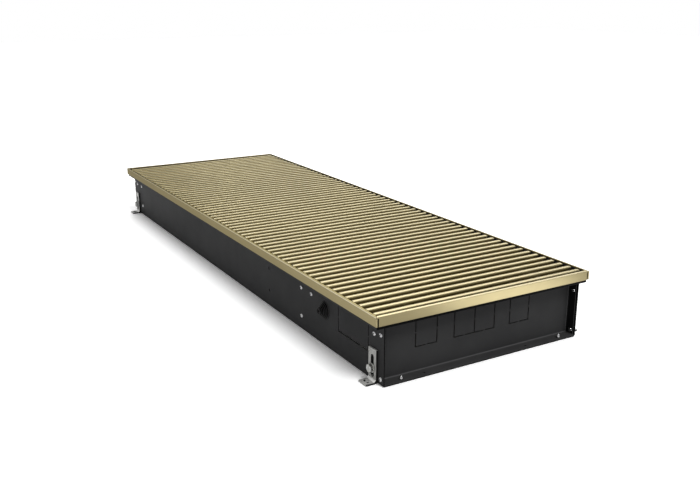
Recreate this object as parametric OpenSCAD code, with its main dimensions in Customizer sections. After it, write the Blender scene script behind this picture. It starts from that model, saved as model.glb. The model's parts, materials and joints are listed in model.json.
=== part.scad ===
// Trench convector heater: a sheet-steel trough for a floor slot, with an edge frame, a slat
// grille, a finned-tube heat exchanger and a cross-flow fan beside it.
// X runs across the trough, Y along it and Z up; the origin is the middle of its underside.
// The front end, at -Y, holds the pipe and cable connections; the fan lies along the -X wall.

/* [Casing] */
// Width over the long walls
casing_w = 250; // [244:1:300]
// Length of the long walls
casing_l = 800; // [760:1:1200]
// Height from the underside to the top of the frame
total_h = 75; // [74:0.5:90]
// Thickness of the casing sheet
sheet = 1; // [0.8:0.1:1.2]
// Height of the black shoulder that shows below the frame
shoulder_h = 3.7; // [3:0.1:5]
// Depth of the recess in front of each end wall
recess = 12.5; // [12:0.5:13]
// How far the end walls' side flanges stay back from the casing's ends
flange_setback = 2; // [1:0.5:4]
// Clearance between folded sheets that lie on each other
seam = 0.1; // [0.05:0.05:0.2]

/* [Frame] */
// How far the frame stands out past the long walls
frame_reach_side = 10.8; // [9:0.1:14]
// How far the frame stands out past the casing's ends
frame_reach_end = 3; // [2.8:0.1:6]
// Height of the frame's outer face
frame_face_h = 10; // [8:0.5:12]
// Thickness of the frame's outer lip
frame_lip = 1.6; // [1.2:0.1:2]
// Thickness of the frame's top flange
frame_top = 1.5; // [1:0.1:2]
// Width of the long rails' top flange
flange_side = 2.8; // [2.7:0.1:3.4]
// Width of the end rails' top flange
flange_end = 3.9; // [3:0.1:4.5]
// How far the end rails' lips stop short of the frame's corners
corner_notch = 3.1; // [2:0.1:4]
// Gap along each mitre
mitre_gap = 0.1; // [0.05:0.05:0.3]

/* [Grille] */
// Width of one slat
slat_w = 6; // [5:0.5:7]
// Wanted gap between two slats
slat_gap = 7; // [6:0.5:9]
// Distance from the frame's end to the middle of the first slat
slat_first = 12.2; // [11.8:0.1:14]
// How far the slats' tops lie below the frame's top
slat_drop = 0.9; // [0:0.1:2]
// Gap between a slat's end and the frame's flange
slat_end_gap = 2.1; // [1.5:0.1:3]
// Radius of the slats' top edges
slat_round = 1; // [0.5:0.1:2]
// Width of the rubber seat strips
strip_w = 4.6; // [3:0.1:5]
// Thickness of the rubber seat strips
strip_t = 1; // [0.5:0.1:2]
// Gap between the slats and the seat strips
seat_gap = 0.3; // [0.2:0.05:0.5]
// Diameter of a tie wire
tie_d = 3; // [2:0.5:4]
// Outer diameter of a spacer sleeve
spacer_d = 7; // [6:0.5:8]
// Distance of each tie wire from the middle of the grille
tie_x = 85; // [60:1:100]
// Height of the tie wires over the slats' underside
tie_rise = 4.2; // [4:0.1:5]
// Length of the ferrules on the tie wires' ends
ferrule_l = 4; // [3:0.5:4]

/* [Feet] */
// Width of a foot
foot_w = 14; // [12:1:18]
// Thickness of a foot
foot_t = 2; // [1.5:0.5:3]
// Height of a foot
foot_h = 35; // [32:1:45]
// How far a foot's flange reaches out from the wall
foot_out = 13.6; // [12:0.1:20]
// Distance from the casing's end to the middle of a foot
foot_from_end = 17.2; // [17.1:0.1:30]
// Clearance on both faces of a foot
foot_play = 0.2; // [0.1:0.05:0.3]
// Height of the slot's lower end
slot_low = 5; // [4:0.5:7]
// Height of the slot's upper end
slot_high = 29; // [26:0.5:30]
// Diameter of the clamp bolts
clamp_d = 5; // [4:0.5:5]
// Width of the clamp bolts' heads across flats
clamp_af = 8; // [7:0.5:10]
// Height of the clamp bolts' heads
clamp_head_h = 3.5; // [3:0.5:5]
// Height of the clamp bolts over the underside
clamp_z = 15; // [14:0.5:18]
// Outer diameter of the clamp washers
washer_d = 10; // [9:0.5:12]
// Thickness of the clamp washers
washer_t = 1; // [0.5:0.1:1.5]
// Outer diameter of the threaded inserts
insert_d = 7; // [6.5:0.1:7.1]
// Length of the threaded inserts
insert_l = 9; // [7:0.5:12]
// Diameter of the anchor holes
anchor_d = 5.5; // [4:0.5:6]
// Distance of the anchor holes from the wall
anchor_out = 9.3; // [7.5:0.1:9.4]
// Outer diameter of the collar round an anchor hole
collar_d = 8; // [7.5:0.5:9]
// Height of that collar over the foot's flange
collar_h = 1; // [0.5:0.5:2]

/* [Knock-outs and rivets] */
// Width of one knock-out plate
knock_w = 25.9; // [22:0.1:26]
// Height of the knock-outs' lower edge
knock_low = 27.8; // [24:0.1:32]
// Distance from the knock-outs' upper edge to the shoulder
knock_drop = 3.3; // [2:0.1:6]
// Width of the cut line round a knock-out
knock_cut = 1.3; // [0.5:0.1:1.6]
// Length of the bridges that hold a knock-out
knock_bridge = 1.6; // [1:0.1:3]
// Distance from the casing's end to the side knock-out
side_knock_start = 28; // [26:1:30]
// Length of the side knock-out
side_knock_l = 59; // [50:1:62]
// Diameter of the rivets' heads
rivet_head_d = 5; // [4:0.5:6]
// Height of the rivets' heads
rivet_head_h = 1.5; // [1:0.1:2]
// Diameter of the rivets' shanks
rivet_d = 3.2; // [2.4:0.1:3.4]
// Clearance round a fastener's shank
fastener_gap = 0.05; // [0.02:0.01:0.1]
// Diameter of the spare holes in the sheet
spare_hole_d = 3; // [2:0.5:4]

/* [Chamber] */
// Distance from the casing's front end to the rivets of the front partition
front_rivets = 170; // [165:1:190]
// Distance from the casing's back end to the rivets of the back partition
back_rivets = 40; // [38:1:60]
// Width of the partitions' side flanges
part_flange = 10; // [8:1:14]
// Gap over the partitions, up to the shoulder
part_drop = 4; // [3:0.5:8]
// Distance from the casing's front end to the cross brace
brace_from_end = 146; // [140:1:150]
// Width of the cross brace
brace_w = 12; // [10:1:14]
// Thickness of the cross brace
brace_t = 1.5; // [1:0.1:2]
// Depth of the cross brace's legs
brace_leg = 4; // [3:0.5:5]
// Gap over the cross brace, up to the shoulder
brace_drop = 3.5; // [3:0.5:4]
// Distance from the casing's front end to the cable grommet
grommet_from_end = 116.5; // [112:0.5:118]
// Height of the cable grommet
grommet_z = 41; // [38:0.5:43]
// Outer diameter of the grommet's largest step
grommet_d = 20; // [18:0.5:22]
// How far the grommet stands out from the wall
grommet_out = 7.5; // [6:0.5:9]
// Steps on the grommet
grommet_steps = 6; // [3:1:6]
// Diameter of the grommet's cable bore
cable_d = 5.2; // [5:0.1:8]

/* [Heat exchanger] */
// Outer diameter of the tubes
tube_d = 15; // [12:0.5:15]
// Wall of the tubes
tube_wall = 0.8; // [0.6:0.1:1.2]
// Distance between the two columns of tubes
tube_dx = 46.6; // [44:0.1:50]
// Height of the lower row of tubes
row_low = 19; // [18.5:0.5:21]
// Distance from the upper row of tubes to the shoulder
row_drop = 18.3; // [17.5:0.1:19.5]
// Width of a fin
fin_w = 90; // [80:1:94]
// Height of the fins' lower edges
fin_low = 8; // [6:0.5:10]
// Distance from the fins' upper edges to the shoulder
fin_drop = 7.3; // [6:0.1:9]
// Thickness of a fin
fin_t = 0.5; // [0.3:0.1:0.6]
// Distance from fin to fin
fin_pitch = 6; // [5:0.5:10]
// Clearance round the tubes in fins and plates
tube_gap = 0.05; // [0.02:0.01:0.1]
// How far the upper tubes reach into the chamber
tube_tail = 66; // [60:1:70]
// Width of the brass fittings across flats
fitting_af = 26; // [24:1:28]
// Length of the brass fittings
fitting_l = 24; // [22:1:30]
// Diameter of the threaded pipe holes
thread_d = 18.6; // [16:0.1:20]
// Depth of the threaded pipe holes
thread_l = 14; // [10:1:15]

/* [Fan] */
// Outer diameter of the impeller
impeller_d = 40; // [36:1:42]
// Blades on the impeller
blades = 24; // [16:1:30]
// Radial depth of the blades
blade_depth = 6; // [4:0.5:7]
// Thickness of a blade
blade_t = 0.7; // [0.5:0.1:1]
// Longest stretch of blade between two discs
disc_pitch = 66; // [50:1:90]
// Thickness of a disc
disc_t = 1.2; // [1:0.1:2]
// Distance from the long wall to the fan's axis
fan_from_wall = 53; // [50:1:54]
// Height of the fan's axis
fan_z = 30; // [29:0.5:32]
// Gap between impeller and housing
scroll_gap = 4; // [3:0.5:5]
// Distance from the fan's axis to its outlet
outlet_reach = 47; // [44:1:50]
// Gap between the fan's outlet and the fins
outlet_gap = 9.5; // [5:0.5:12]
// Diameter of the shafts
shaft_d = 6; // [5:0.5:8]
// Running clearance of the shafts, on the radius
run_gap = 0.05; // [0.03:0.01:0.08]
// Diameter of the motor
motor_d = 48; // [42:1:50]
// Length of the motor's housing
motor_l = 42; // [38:1:46]
// Wall of the motor's housing
motor_wall = 1.2; // [1:0.1:2]
// Diameter of the motor's bosses
boss_d = 18; // [16:1:20]
// Length of the motor's bosses
boss_l = 8; // [7:0.5:9]

/* [Terminal box] */
// Length of the terminal box
box_l = 82; // [70:1:84]
// Width of the terminal box
box_w = 56; // [50:1:60]
// Height of the terminal box without its lid
box_h = 50; // [48:1:52]
// Wall of the terminal box
box_wall = 2; // [1.5:0.5:3]
// Gap between the terminal box and the wall
box_gap = 6; // [5:0.5:8]
// Thickness of the lid
lid_t = 2.5; // [2:0.5:3]
// Poles on the terminal block
poles = 5; // [3:1:5]
// Diameter of the motor lead
lead_d = 5; // [4:0.5:6]

/* [Hidden] */
$fn = 48;

black_paint = "#2b2b2c";
champagne = "#b8a87c";
zinc = "#c9c9c6";
copper = "#b87045";
brass = "#c4a14e";
dark_rubber = "#1b1b1c";
fin_aluminium = "#b9bcbe";
pale_plastic = "#d5d5d0";
dark_plastic = "#3a3b3d";

// Casing and frame
half_w = casing_w / 2;
half_l = casing_l / 2;
inner_w = half_w - sheet;
lining_w = inner_w - seam;
floor_z = sheet + seam;
frame_half_w = half_w + frame_reach_side;
frame_half_l = half_l + frame_reach_end;
shoulder_z = total_h - frame_face_h - shoulder_h;
shelf_z = shoulder_z + sheet;
upstand_x = frame_half_w - frame_lip - seam;
upstand_y = frame_half_l - frame_lip - seam;
upstand_top = total_h - frame_top - seam;
end_face = half_l - recess;

// Grille
slat_steps = round(2 * (frame_half_l - slat_first) / (slat_w + slat_gap));
slat_pitch = 2 * (frame_half_l - slat_first) / slat_steps;
slat_l = 2 * (frame_half_w - flange_side - slat_end_gap);
slat_low = shelf_z + strip_t + seat_gap;
slat_top = total_h - slat_drop;
slat_h = slat_top - slat_low;
tie_z = slat_low + tie_rise;
tie_bore = tie_d + 0.4;
end_slat_face = frame_half_l - slat_first + slat_w / 2;

// Feet
foot_y = half_l - foot_from_end;
foot_in = half_w + foot_play;
slot_w = clamp_d + 0.4;
washer_in = foot_in + foot_t + foot_play;
insert_inside = inner_w + sheet - insert_l;

// Rivets of the long walls: [distance from the casing's end, height, thickness gripped]
corner_drop = 8.8;
rivet_drop = 11.3;
brace_rivet_drop = 11.6;
spare_drop = 12.9;
corner_rivets = [[5.5, shoulder_z - corner_drop], [5.5, 6.6]];
post_rivet = [17.2, shoulder_z - rivet_drop];
partition_rivet_z = [16.3, shoulder_z - rivet_drop];
brace_rivet_z = shoulder_z - brace_rivet_drop;
spare_holes = [[254.3, shoulder_z - spare_drop], [254.3, 20.6]];
rivet_tail_d = 4.4;
rivet_tail_h = 1;
strip_rivet_x = 102.7;
strip_rivet_in = 3.4;
blind_d = 3.8;
blind_h = 3;
stem_d = 2.8;
stem_h = 1.2;
strip_hole_in = 5;
strip_hole_x = [-74.3, 57.2];
pair_grip = 2 * sheet + seam;

// Fan
fan_x = -half_w + fan_from_wall;
impeller_r = impeller_d / 2;
scroll_r = impeller_r + scroll_gap;
outlet_x = fan_x + outlet_reach;
outlet_top = shoulder_z - fin_drop;
intake_top = outlet_top + 2;
tongue_angle = 28;
rear_angle = 150;

// Partitions, by the plate's face that looks at the fins
front_plate = -half_l + front_rivets - part_flange / 2 + sheet;
back_plate = half_l - back_rivets - part_flange / 2;
part_top = shoulder_z - part_drop;

// Motor and impeller along Y
motor_back = front_plate + 6;
motor_front = motor_back + motor_l;
motor_r = motor_d / 2;
boss_r = boss_d / 2;
end_plate_y = motor_front + boss_l - 3;
wheel_front = end_plate_y + 7;
wheel_back = back_plate - 6;
shaft_r = shaft_d / 2;
bush_r = shaft_r + 3;
bush_l = 6;
ring_play = 0.05;
ring_lip = 1.6;
hub_r = shaft_r + 4;
hub_l = 10;
shaft_grip = 0.02;
end_cap_t = 2;
rotor_r = 12;
rotor_l = 22;
stator_in = rotor_r + 0.6;

// Exchanger
exchanger_x = outlet_x + outlet_gap + fin_w / 2;
tube_r = tube_d / 2;
tube_x = [exchanger_x - tube_dx / 2, exchanger_x + tube_dx / 2];
row_high = shoulder_z - row_drop;
row_middle = (row_low + row_high) / 2;
tube_back = back_plate + sheet + 3;
low_tube_front = front_plate - sheet - 8;
high_tube_front = front_plate - sheet - tube_tail;
fin_space = back_plate - front_plate - 8;
fin_count = floor(fin_space / fin_pitch) + 1;
fin_start = (front_plate + back_plate) / 2 - (fin_count - 1) * fin_pitch / 2;
fitting_back = high_tube_front + 8;
fitting_front = fitting_back - fitting_l;
thread_end = fitting_front + thread_l;
joint_gap = 0.05;
vent_y = fitting_back - 5;
vent_d = 10;
vent_l = 9;
bleed_d = 4;
bleed_head_d = 7;
bleed_head_h = 3;

// Knock-outs of the end walls, by their middles: two lie in line with the tubes
knock_high = shoulder_z - knock_drop;
knock_x = [
    tube_x[0] - 2.83 * knock_w, tube_x[0] - knock_w, tube_x[0], tube_x[1],
];

// Terminal box
grommet_y = -half_l + grommet_from_end;
box_x = -inner_w + box_gap;
box_back = -half_l + brace_from_end - brace_w / 2 - 3;
box_front = box_back - box_l;
post_r = 3.5;
post_in = box_wall + post_r - 0.5;
lid_screw_d = 2.9;
lid_screw_l = 12;
lid_hole_l = lid_screw_l + 4;
lid_head_d = 5.4;
lid_head_h = 1.6;
lid_drive_l = 3.4;
lid_drive_w = 0.8;
lead_offset = 14;
lead_x = fan_x - lead_offset;
lead_z = fan_z - lead_offset;
lead_play = 0.05;
bush_lip = 1.2;
pole_pitch = 10;
block_h = 14;
block_w = 16;
pole_hole_l = 8;
pole_screw_l = 6;
pole_screw_d = 4;

// A box from its two corners
module block(low, high) {
    translate(low) cube(high - low);
}

// A section drawn in X and Z, run along Y from y0 to y1
module along_y(y0, y1) {
    translate([0, y1, 0]) rotate([90, 0, 0]) linear_extrude(y1 - y0) children();
}

// A section drawn in Y and Z, run along X from x0 to x1
module along_x(x0, x1) {
    translate([x0, 0, 0]) rotate([90, 0, 90]) linear_extrude(x1 - x0) children();
}

// A round bar along Y
module rod_y(x, z, y0, y1, r) {
    along_y(y0, y1) translate([x, z]) circle(r);
}

// A round bar along X
module rod_x(y, z, x0, x1, r) {
    along_x(x0, x1) translate([y, z]) circle(r);
}

// A tube along Y
module sleeve_y(x, z, y0, y1, r, bore) {
    along_y(y0, y1) translate([x, z]) difference() {
        circle(r);
        circle(bore);
    }
}

// Both long sides
module both_sides() {
    children();
    mirror([1, 0, 0]) children();
}

// Both ends
module both_ends() {
    children();
    mirror([0, 1, 0]) children();
}

// The domed head of a rivet, standing out along +X from the face at x = 0
module rivet_head() {
    dome_r = (rivet_head_h * rivet_head_h + pow(rivet_head_d / 2, 2)) / (2 * rivet_head_h);
    rotate([0, 90, 0]) rotate_extrude() intersection() {
        translate([0, rivet_head_h - dome_r]) circle(dome_r);
        square([rivet_head_d / 2, rivet_head_h]);
    }
}

// A blind rivet along X through a wall whose outer face is at x = 0, with its tail inside
module rivet(grip) {
    rivet_head();
    rod_x(0, 0, -grip, 0, rivet_d / 2);
    rod_x(0, 0, -grip - rivet_tail_h, -grip, rivet_tail_d / 2);
}

// One place of a rivet on the +X wall, counted from the +Y end
module at_back(from_end, z) {
    translate([half_w, half_l - from_end, z]) children();
}

// One place of a rivet on the +X wall, counted from the -Y end
module at_front(from_end, z) {
    translate([half_w, -half_l + from_end, z]) children();
}

// The rivet holes of the +X wall
module side_holes() {
    reach = 2 * part_flange;
    hole_r = rivet_d / 2 + fastener_gap;
    for (p = concat(corner_rivets, [post_rivet])) {
        at_back(p[0], p[1]) rod_x(0, 0, -reach, 1, hole_r);
        at_front(p[0], p[1]) rod_x(0, 0, -reach, 1, hole_r);
    }
    for (z = partition_rivet_z) {
        at_front(front_rivets, z) rod_x(0, 0, -reach, 1, hole_r);
        at_back(back_rivets, z) rod_x(0, 0, -reach, 1, hole_r);
    }
    at_front(brace_from_end, brace_rivet_z) rod_x(0, 0, -reach, 1, hole_r);
    for (p = spare_holes) {
        at_front(p[0], p[1]) rod_x(0, 0, -reach, 1, spare_hole_d / 2);
    }
}

// The cut line of a knock-out, with a bridge left in the middle of each side
module knockout_cut(x0, x1, z0, z1) {
    difference() {
        translate([x0 - knock_cut / 2, z0 - knock_cut / 2])
            square([x1 - x0 + knock_cut, z1 - z0 + knock_cut]);
        translate([x0 + knock_cut / 2, z0 + knock_cut / 2])
            square([x1 - x0 - knock_cut, z1 - z0 - knock_cut]);
        translate([(x0 + x1) / 2, (z0 + z1) / 2]) {
            square([knock_bridge, 2 * (z1 - z0)], center = true);
            square([2 * (x1 - x0), knock_bridge], center = true);
        }
    }
}

// The folded trough: bottom, long walls, shoulders and long upstands
module trough() {
    shelf_end = upstand_y - sheet - seam;
    color(black_paint) difference() {
        union() {
            block([-half_w, -half_l, 0], [half_w, half_l, sheet]);
            both_sides() {
                block([inner_w, -half_l, 0], [half_w, half_l, shelf_z]);
                block([inner_w, -shelf_end, shoulder_z], [upstand_x, shelf_end, shelf_z]);
                block([upstand_x - sheet, -shelf_end, shoulder_z],
                      [upstand_x, shelf_end, upstand_top]);
            }
        }
        both_sides() {
            side_holes();
            both_ends() rod_x(foot_y, clamp_z, inner_w - 1, half_w + 1, insert_d / 2 + fastener_gap);
        }
        both_ends() {
            for (x = [-strip_rivet_x, strip_rivet_x]) {
                translate([x, half_l - strip_rivet_in, -1])
                    cylinder(h = sheet + 2, r = rivet_d / 2 + fastener_gap);
            }
        }
        rod_x(grommet_y, grommet_z, -half_w - 1, -inner_w + 1, grommet_d / 2 - 2);
        along_x(-half_w - 1, -inner_w + 1) knockout_cut(-half_l + side_knock_start,
            -half_l + side_knock_start + side_knock_l, knock_low, knock_high);
    }
}

// The set-back end wall at the +Y end, with its flanges, shelf and upstand
module end_wall() {
    back_face = end_face - sheet;
    color(black_paint) difference() {
        union() {
            block([-lining_w, back_face, floor_z], [lining_w, end_face, shelf_z]);
            block([-lining_w, back_face, floor_z], [lining_w, half_l, floor_z + sheet]);
            block([-lining_w, back_face, shoulder_z], [lining_w, upstand_y, shelf_z]);
            block([-upstand_x, upstand_y - sheet, shoulder_z],
                  [upstand_x, upstand_y, upstand_top]);
            both_sides() block([lining_w - sheet, back_face, floor_z],
                               [lining_w, half_l - flange_setback, shelf_z]);
        }
        both_sides() for (p = corner_rivets) {
            at_back(p[0], p[1]) rod_x(0, 0, -3 * pair_grip, 1, rivet_d / 2 + fastener_gap);
        }
        for (x = [-strip_rivet_x, strip_rivet_x]) {
            translate([x, half_l - strip_rivet_in, 0])
                cylinder(h = 3 * sheet, r = rivet_d / 2 + fastener_gap);
        }
        for (x = strip_hole_x) {
            translate([x, half_l - strip_hole_in, 0]) cylinder(h = 3 * sheet, d = spare_hole_d);
        }
        along_y(back_face - 1, end_face + 1) for (x = knock_x) {
            knockout_cut(x - knock_w / 2, x + knock_w / 2, knock_low, knock_high);
        }
    }
}

module end_wall_back() {
    end_wall();
}

module end_wall_front() {
    mirror([0, 1, 0]) end_wall();
}

// The dome-headed rivets of both long walls
module wall_rivets() {
    color(zinc) both_sides() {
        for (p = corner_rivets) {
            at_back(p[0], p[1]) rivet(pair_grip);
            at_front(p[0], p[1]) rivet(pair_grip);
        }
        at_back(post_rivet[0], post_rivet[1]) rivet(sheet);
        at_front(post_rivet[0], post_rivet[1]) rivet(sheet);
        for (z = partition_rivet_z) {
            at_front(front_rivets, z) rivet(pair_grip);
            at_back(back_rivets, z) rivet(pair_grip);
        }
        at_front(brace_from_end, brace_rivet_z) rivet(sheet + seam + brace_t);
    }
}

// The rivets of the bottom strips in front of the end walls: flush below, blind tails on top
module strip_rivets() {
    grip = floor_z + sheet;
    color(zinc) both_ends() for (x = [-strip_rivet_x, strip_rivet_x]) {
        translate([x, half_l - strip_rivet_in, 0]) {
            cylinder(h = grip, d = rivet_d);
            translate([0, 0, grip]) cylinder(h = blind_h, d = blind_d);
            translate([0, 0, grip + blind_h]) cylinder(h = stem_h, d1 = stem_d, d2 = stem_d / 2);
        }
    }
}

// A strip of the long rail at +X, this wide, with both its ends cut to the mitre
module mitred_strip(width, low, high) {
    outer_end = frame_half_l - mitre_gap;
    inner_end = outer_end - width * flange_end / flange_side;
    translate([0, 0, low]) linear_extrude(high - low) polygon([
        [frame_half_w, -outer_end], [frame_half_w, outer_end],
        [frame_half_w - width, inner_end], [frame_half_w - width, -inner_end],
    ]);
}

// The long rail at +X: a mitred top flange, and a lip that runs on below the end rails' flanges
module long_rail() {
    lip_end = frame_half_l - mitre_gap;
    lip_top = total_h - frame_top - mitre_gap;
    block([frame_half_w - frame_lip, -lip_end, total_h - frame_face_h],
          [frame_half_w, lip_end, lip_top]);
    mitred_strip(frame_lip, lip_top, total_h);
    mitred_strip(flange_side, total_h - frame_top, total_h);
}

// The end rail at +Y: its lip stops short, so that a dark slot shows beside the long rail
module end_rail() {
    lip_end = frame_half_w - corner_notch;
    outer_end = frame_half_w - mitre_gap;
    inner_end = frame_half_w - flange_side - mitre_gap;
    inner_y = frame_half_l - flange_end;
    block([-lip_end, frame_half_l - frame_lip, total_h - frame_face_h],
          [lip_end, frame_half_l, total_h]);
    translate([0, 0, total_h - frame_top]) linear_extrude(frame_top) polygon([
        [-outer_end, frame_half_l], [outer_end, frame_half_l],
        [inner_end, inner_y], [-inner_end, inner_y],
    ]);
}

module frame_rail_right() {
    color(champagne) long_rail();
}

module frame_rail_left() {
    color(champagne) mirror([1, 0, 0]) long_rail();
}

module frame_rail_back() {
    color(champagne) end_rail();
}

module frame_rail_front() {
    color(champagne) mirror([0, 1, 0]) end_rail();
}

// The rubber strips on the long shelves that the slats lie on
module seat_strips() {
    strip_end = end_slat_face;
    color(dark_rubber) both_sides() block([slat_l / 2 - strip_w, -strip_end, shelf_z],
                                          [slat_l / 2, strip_end, shelf_z + strip_t]);
}

// The stepped rubber cable entry in the -X wall
module cable_grommet() {
    neck_r = grommet_d / 2 - 2 - fastener_gap;
    step_h = grommet_out / grommet_steps;
    tip_r = cable_d / 2 + 1;
    step_r = (grommet_d / 2 - tip_r) / (grommet_steps - 1);
    inside_t = 2.4;
    color(dark_rubber) translate([-half_w, grommet_y, grommet_z]) rotate([0, -90, 0])
    difference() {
        union() {
            for (i = [0 : grommet_steps - 1]) {
                translate([0, 0, i * step_h])
                    cylinder(h = step_h, r = grommet_d / 2 - i * step_r);
            }
            translate([0, 0, -sheet]) cylinder(h = sheet, r = neck_r);
            translate([0, 0, -sheet - inside_t]) cylinder(h = inside_t, d = grommet_d);
        }
        translate([0, 0, -sheet - inside_t - 1])
            cylinder(h = sheet + inside_t + grommet_out + 2, d = cable_d);
    }
}

// The channel across the chamber that keeps the long walls apart
module cross_brace() {
    top = shoulder_z - brace_drop;
    y0 = -half_l + brace_from_end - brace_w / 2;
    y1 = y0 + brace_w;
    color(black_paint) difference() {
        union() {
            block([-lining_w, y0, top - brace_t], [lining_w, y1, top]);
            block([-lining_w, y0, top - brace_leg], [lining_w, y0 + brace_t, top]);
            block([-lining_w, y1 - brace_t, top - brace_leg], [lining_w, y1, top]);
            both_sides() block([lining_w - brace_t, y0, brace_rivet_z - brace_w / 2],
                               [lining_w, y1, top]);
        }
        both_sides() at_front(brace_from_end, brace_rivet_z)
            rod_x(0, 0, -part_flange, 1, rivet_d / 2 + fastener_gap);
    }
}

// The round openings that a partition needs for the four tubes
module tube_holes() {
    for (x = tube_x) {
        for (z = [row_low, row_high]) {
            translate([x, z]) circle(tube_r + tube_gap);
        }
    }
}

// The plate that parts the chamber from the fan: it carries the tubes and the motor's tail
module partition_front() {
    y0 = front_plate - sheet;
    color(black_paint) difference() {
        union() {
            block([-lining_w, y0, floor_z], [lining_w, front_plate, part_top]);
            both_sides() block([lining_w - sheet, y0, floor_z],
                               [lining_w, y0 + part_flange, part_top]);
        }
        along_y(y0 - 1, front_plate + 1) {
            tube_holes();
            translate([fan_x, fan_z]) circle(boss_r + ring_lip);
            translate([lead_x, lead_z]) circle(lead_d / 2 + 2 * bush_lip);
        }
        both_sides() for (z = partition_rivet_z) {
            at_front(front_rivets, z)
                rod_x(0, 0, -part_flange, 1, rivet_d / 2 + fastener_gap);
        }
    }
}

// The plate at the other end of the fins: it carries the tubes and the fan's end bearing
module partition_back() {
    y1 = back_plate + sheet;
    color(black_paint) difference() {
        union() {
            block([-lining_w, back_plate, floor_z], [lining_w, y1, part_top]);
            both_sides() block([lining_w - sheet, back_plate, floor_z],
                               [lining_w, back_plate + part_flange, part_top]);
        }
        along_y(back_plate - 1, y1 + 1) {
            tube_holes();
            translate([fan_x, fan_z]) circle(bush_r + ring_lip);
        }
        both_sides() for (z = partition_rivet_z) {
            at_back(back_rivets, z)
                rod_x(0, 0, -part_flange, 1, rivet_d / 2 + fastener_gap);
        }
    }
}

// The foot at +X and +Y: an L strip with a slot for the clamp bolt and a collared anchor hole
module foot() {
    y0 = foot_y - foot_w / 2;
    slot_r = slot_w / 2;
    anchor_x = half_w + anchor_out;
    difference() {
        union() {
            block([foot_in, y0, 0], [foot_in + foot_t, y0 + foot_w, foot_h]);
            block([foot_in, y0, 0], [half_w + foot_out, y0 + foot_w, foot_t]);
            translate([anchor_x, foot_y, 0]) cylinder(h = foot_t + collar_h, d = collar_d);
        }
        along_x(foot_in - 1, foot_in + foot_t + 1) {
            translate([foot_y, slot_low + slot_r]) circle(slot_r);
            translate([foot_y, slot_high - slot_r]) circle(slot_r);
            translate([foot_y - slot_r, slot_low + slot_r])
                square([slot_w, slot_high - slot_low - slot_w]);
        }
        translate([anchor_x, foot_y, -1]) cylinder(h = foot_t + collar_h + 2, d = anchor_d);
    }
}

module foot_back_right() {
    color(zinc) foot();
}

module foot_back_left() {
    color(zinc) mirror([1, 0, 0]) foot();
}

module foot_front_right() {
    color(zinc) mirror([0, 1, 0]) foot();
}

module foot_front_left() {
    color(zinc) mirror([1, 0, 0]) mirror([0, 1, 0]) foot();
}

// The hex bolts that clamp the feet
module foot_clamp_bolts() {
    head_in = washer_in + washer_t;
    color(zinc) both_sides() both_ends() {
        translate([head_in, foot_y, clamp_z]) rotate([0, 90, 0]) rotate([0, 0, 30])
            cylinder(h = clamp_head_h, d = clamp_af / cos(30), $fn = 6);
        rod_x(foot_y, clamp_z, insert_inside + 1, head_in, clamp_d / 2);
    }
}

// The washers under the heads
module foot_washers() {
    color(zinc) both_sides() both_ends() along_x(washer_in, washer_in + washer_t)
        translate([foot_y, clamp_z]) difference() {
            circle(d = washer_d);
            circle(d = clamp_d + 2 * fastener_gap);
        }
}

// The threaded inserts in the walls
module foot_inserts() {
    color(zinc) both_sides() both_ends() along_x(insert_inside, half_w)
        translate([foot_y, clamp_z]) difference() {
            circle(d = insert_d);
            circle(d = clamp_d + 2 * fastener_gap);
        }
}

// The four copper tubes: the upper two reach further into the chamber
module heating_tubes() {
    color(copper) for (x = tube_x) {
        sleeve_y(x, row_low, low_tube_front, tube_back, tube_r, tube_r - tube_wall);
        sleeve_y(x, row_high, high_tube_front, tube_back, tube_r, tube_r - tube_wall);
    }
}

// Half a ring of tube in the XY plane, opening towards -Y
module half_ring(bend_r) {
    rotate_extrude(angle = 180) translate([bend_r, 0]) difference() {
        circle(tube_r);
        circle(tube_r - tube_wall);
    }
}

// The bends: each column turns back at the far end, the lower row is joined in the chamber
module return_bends() {
    color(copper) {
        for (x = tube_x) {
            translate([x, tube_back, row_middle]) rotate([0, 90, 0])
                half_ring((row_high - row_low) / 2);
        }
        translate([exchanger_x, low_tube_front, row_low]) rotate([0, 0, 180])
            half_ring(tube_dx / 2);
    }
}

// The aluminium fins, pressed on the tubes
module fin_pack() {
    color(fin_aluminium) for (i = [0 : fin_count - 1]) {
        y = fin_start + i * fin_pitch;
        along_y(y - fin_t / 2, y + fin_t / 2) difference() {
            translate([exchanger_x - fin_w / 2, fin_low])
                square([fin_w, outlet_top - fin_low]);
            tube_holes();
        }
    }
}

// A hexagonal bar along Y, from y0 to y1, on an upper tube's axis
module hex_bar(x, y0, y1) {
    translate([x, y1, row_high]) rotate([90, 0, 0]) rotate([0, 0, 30])
        cylinder(h = y1 - y0, d = fitting_af / cos(30), $fn = 6);
}

// A brass socket with a female pipe thread
module fitting(x) {
    color(brass) difference() {
        hex_bar(x, fitting_front, thread_end);
        rod_y(x, row_high, fitting_front - 1, thread_end + 1, thread_d / 2);
    }
}

module supply_fitting() {
    fitting(tube_x[1]);
}

module return_fitting() {
    fitting(tube_x[0]);
}

// The collars soldered on the upper tubes, one behind each socket
module tube_collars() {
    y0 = thread_end + joint_gap;
    color(brass) for (x = tube_x) {
        difference() {
            hex_bar(x, y0, fitting_back);
            rod_y(x, row_high, y0 - 1, fitting_back, tube_r - tube_wall);
            rod_y(x, row_high, high_tube_front, fitting_back + 1, tube_r + tube_gap);
        }
    }
}

// The air vent on the side of the return tube's collar
module air_vent_body() {
    x0 = tube_x[0] - fitting_af / 2;
    color(brass) along_x(x0 - vent_l, x0) translate([vent_y, row_high]) difference() {
        circle(d = vent_d);
        circle(r = bleed_d / 2 + run_gap);
    }
}

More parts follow.
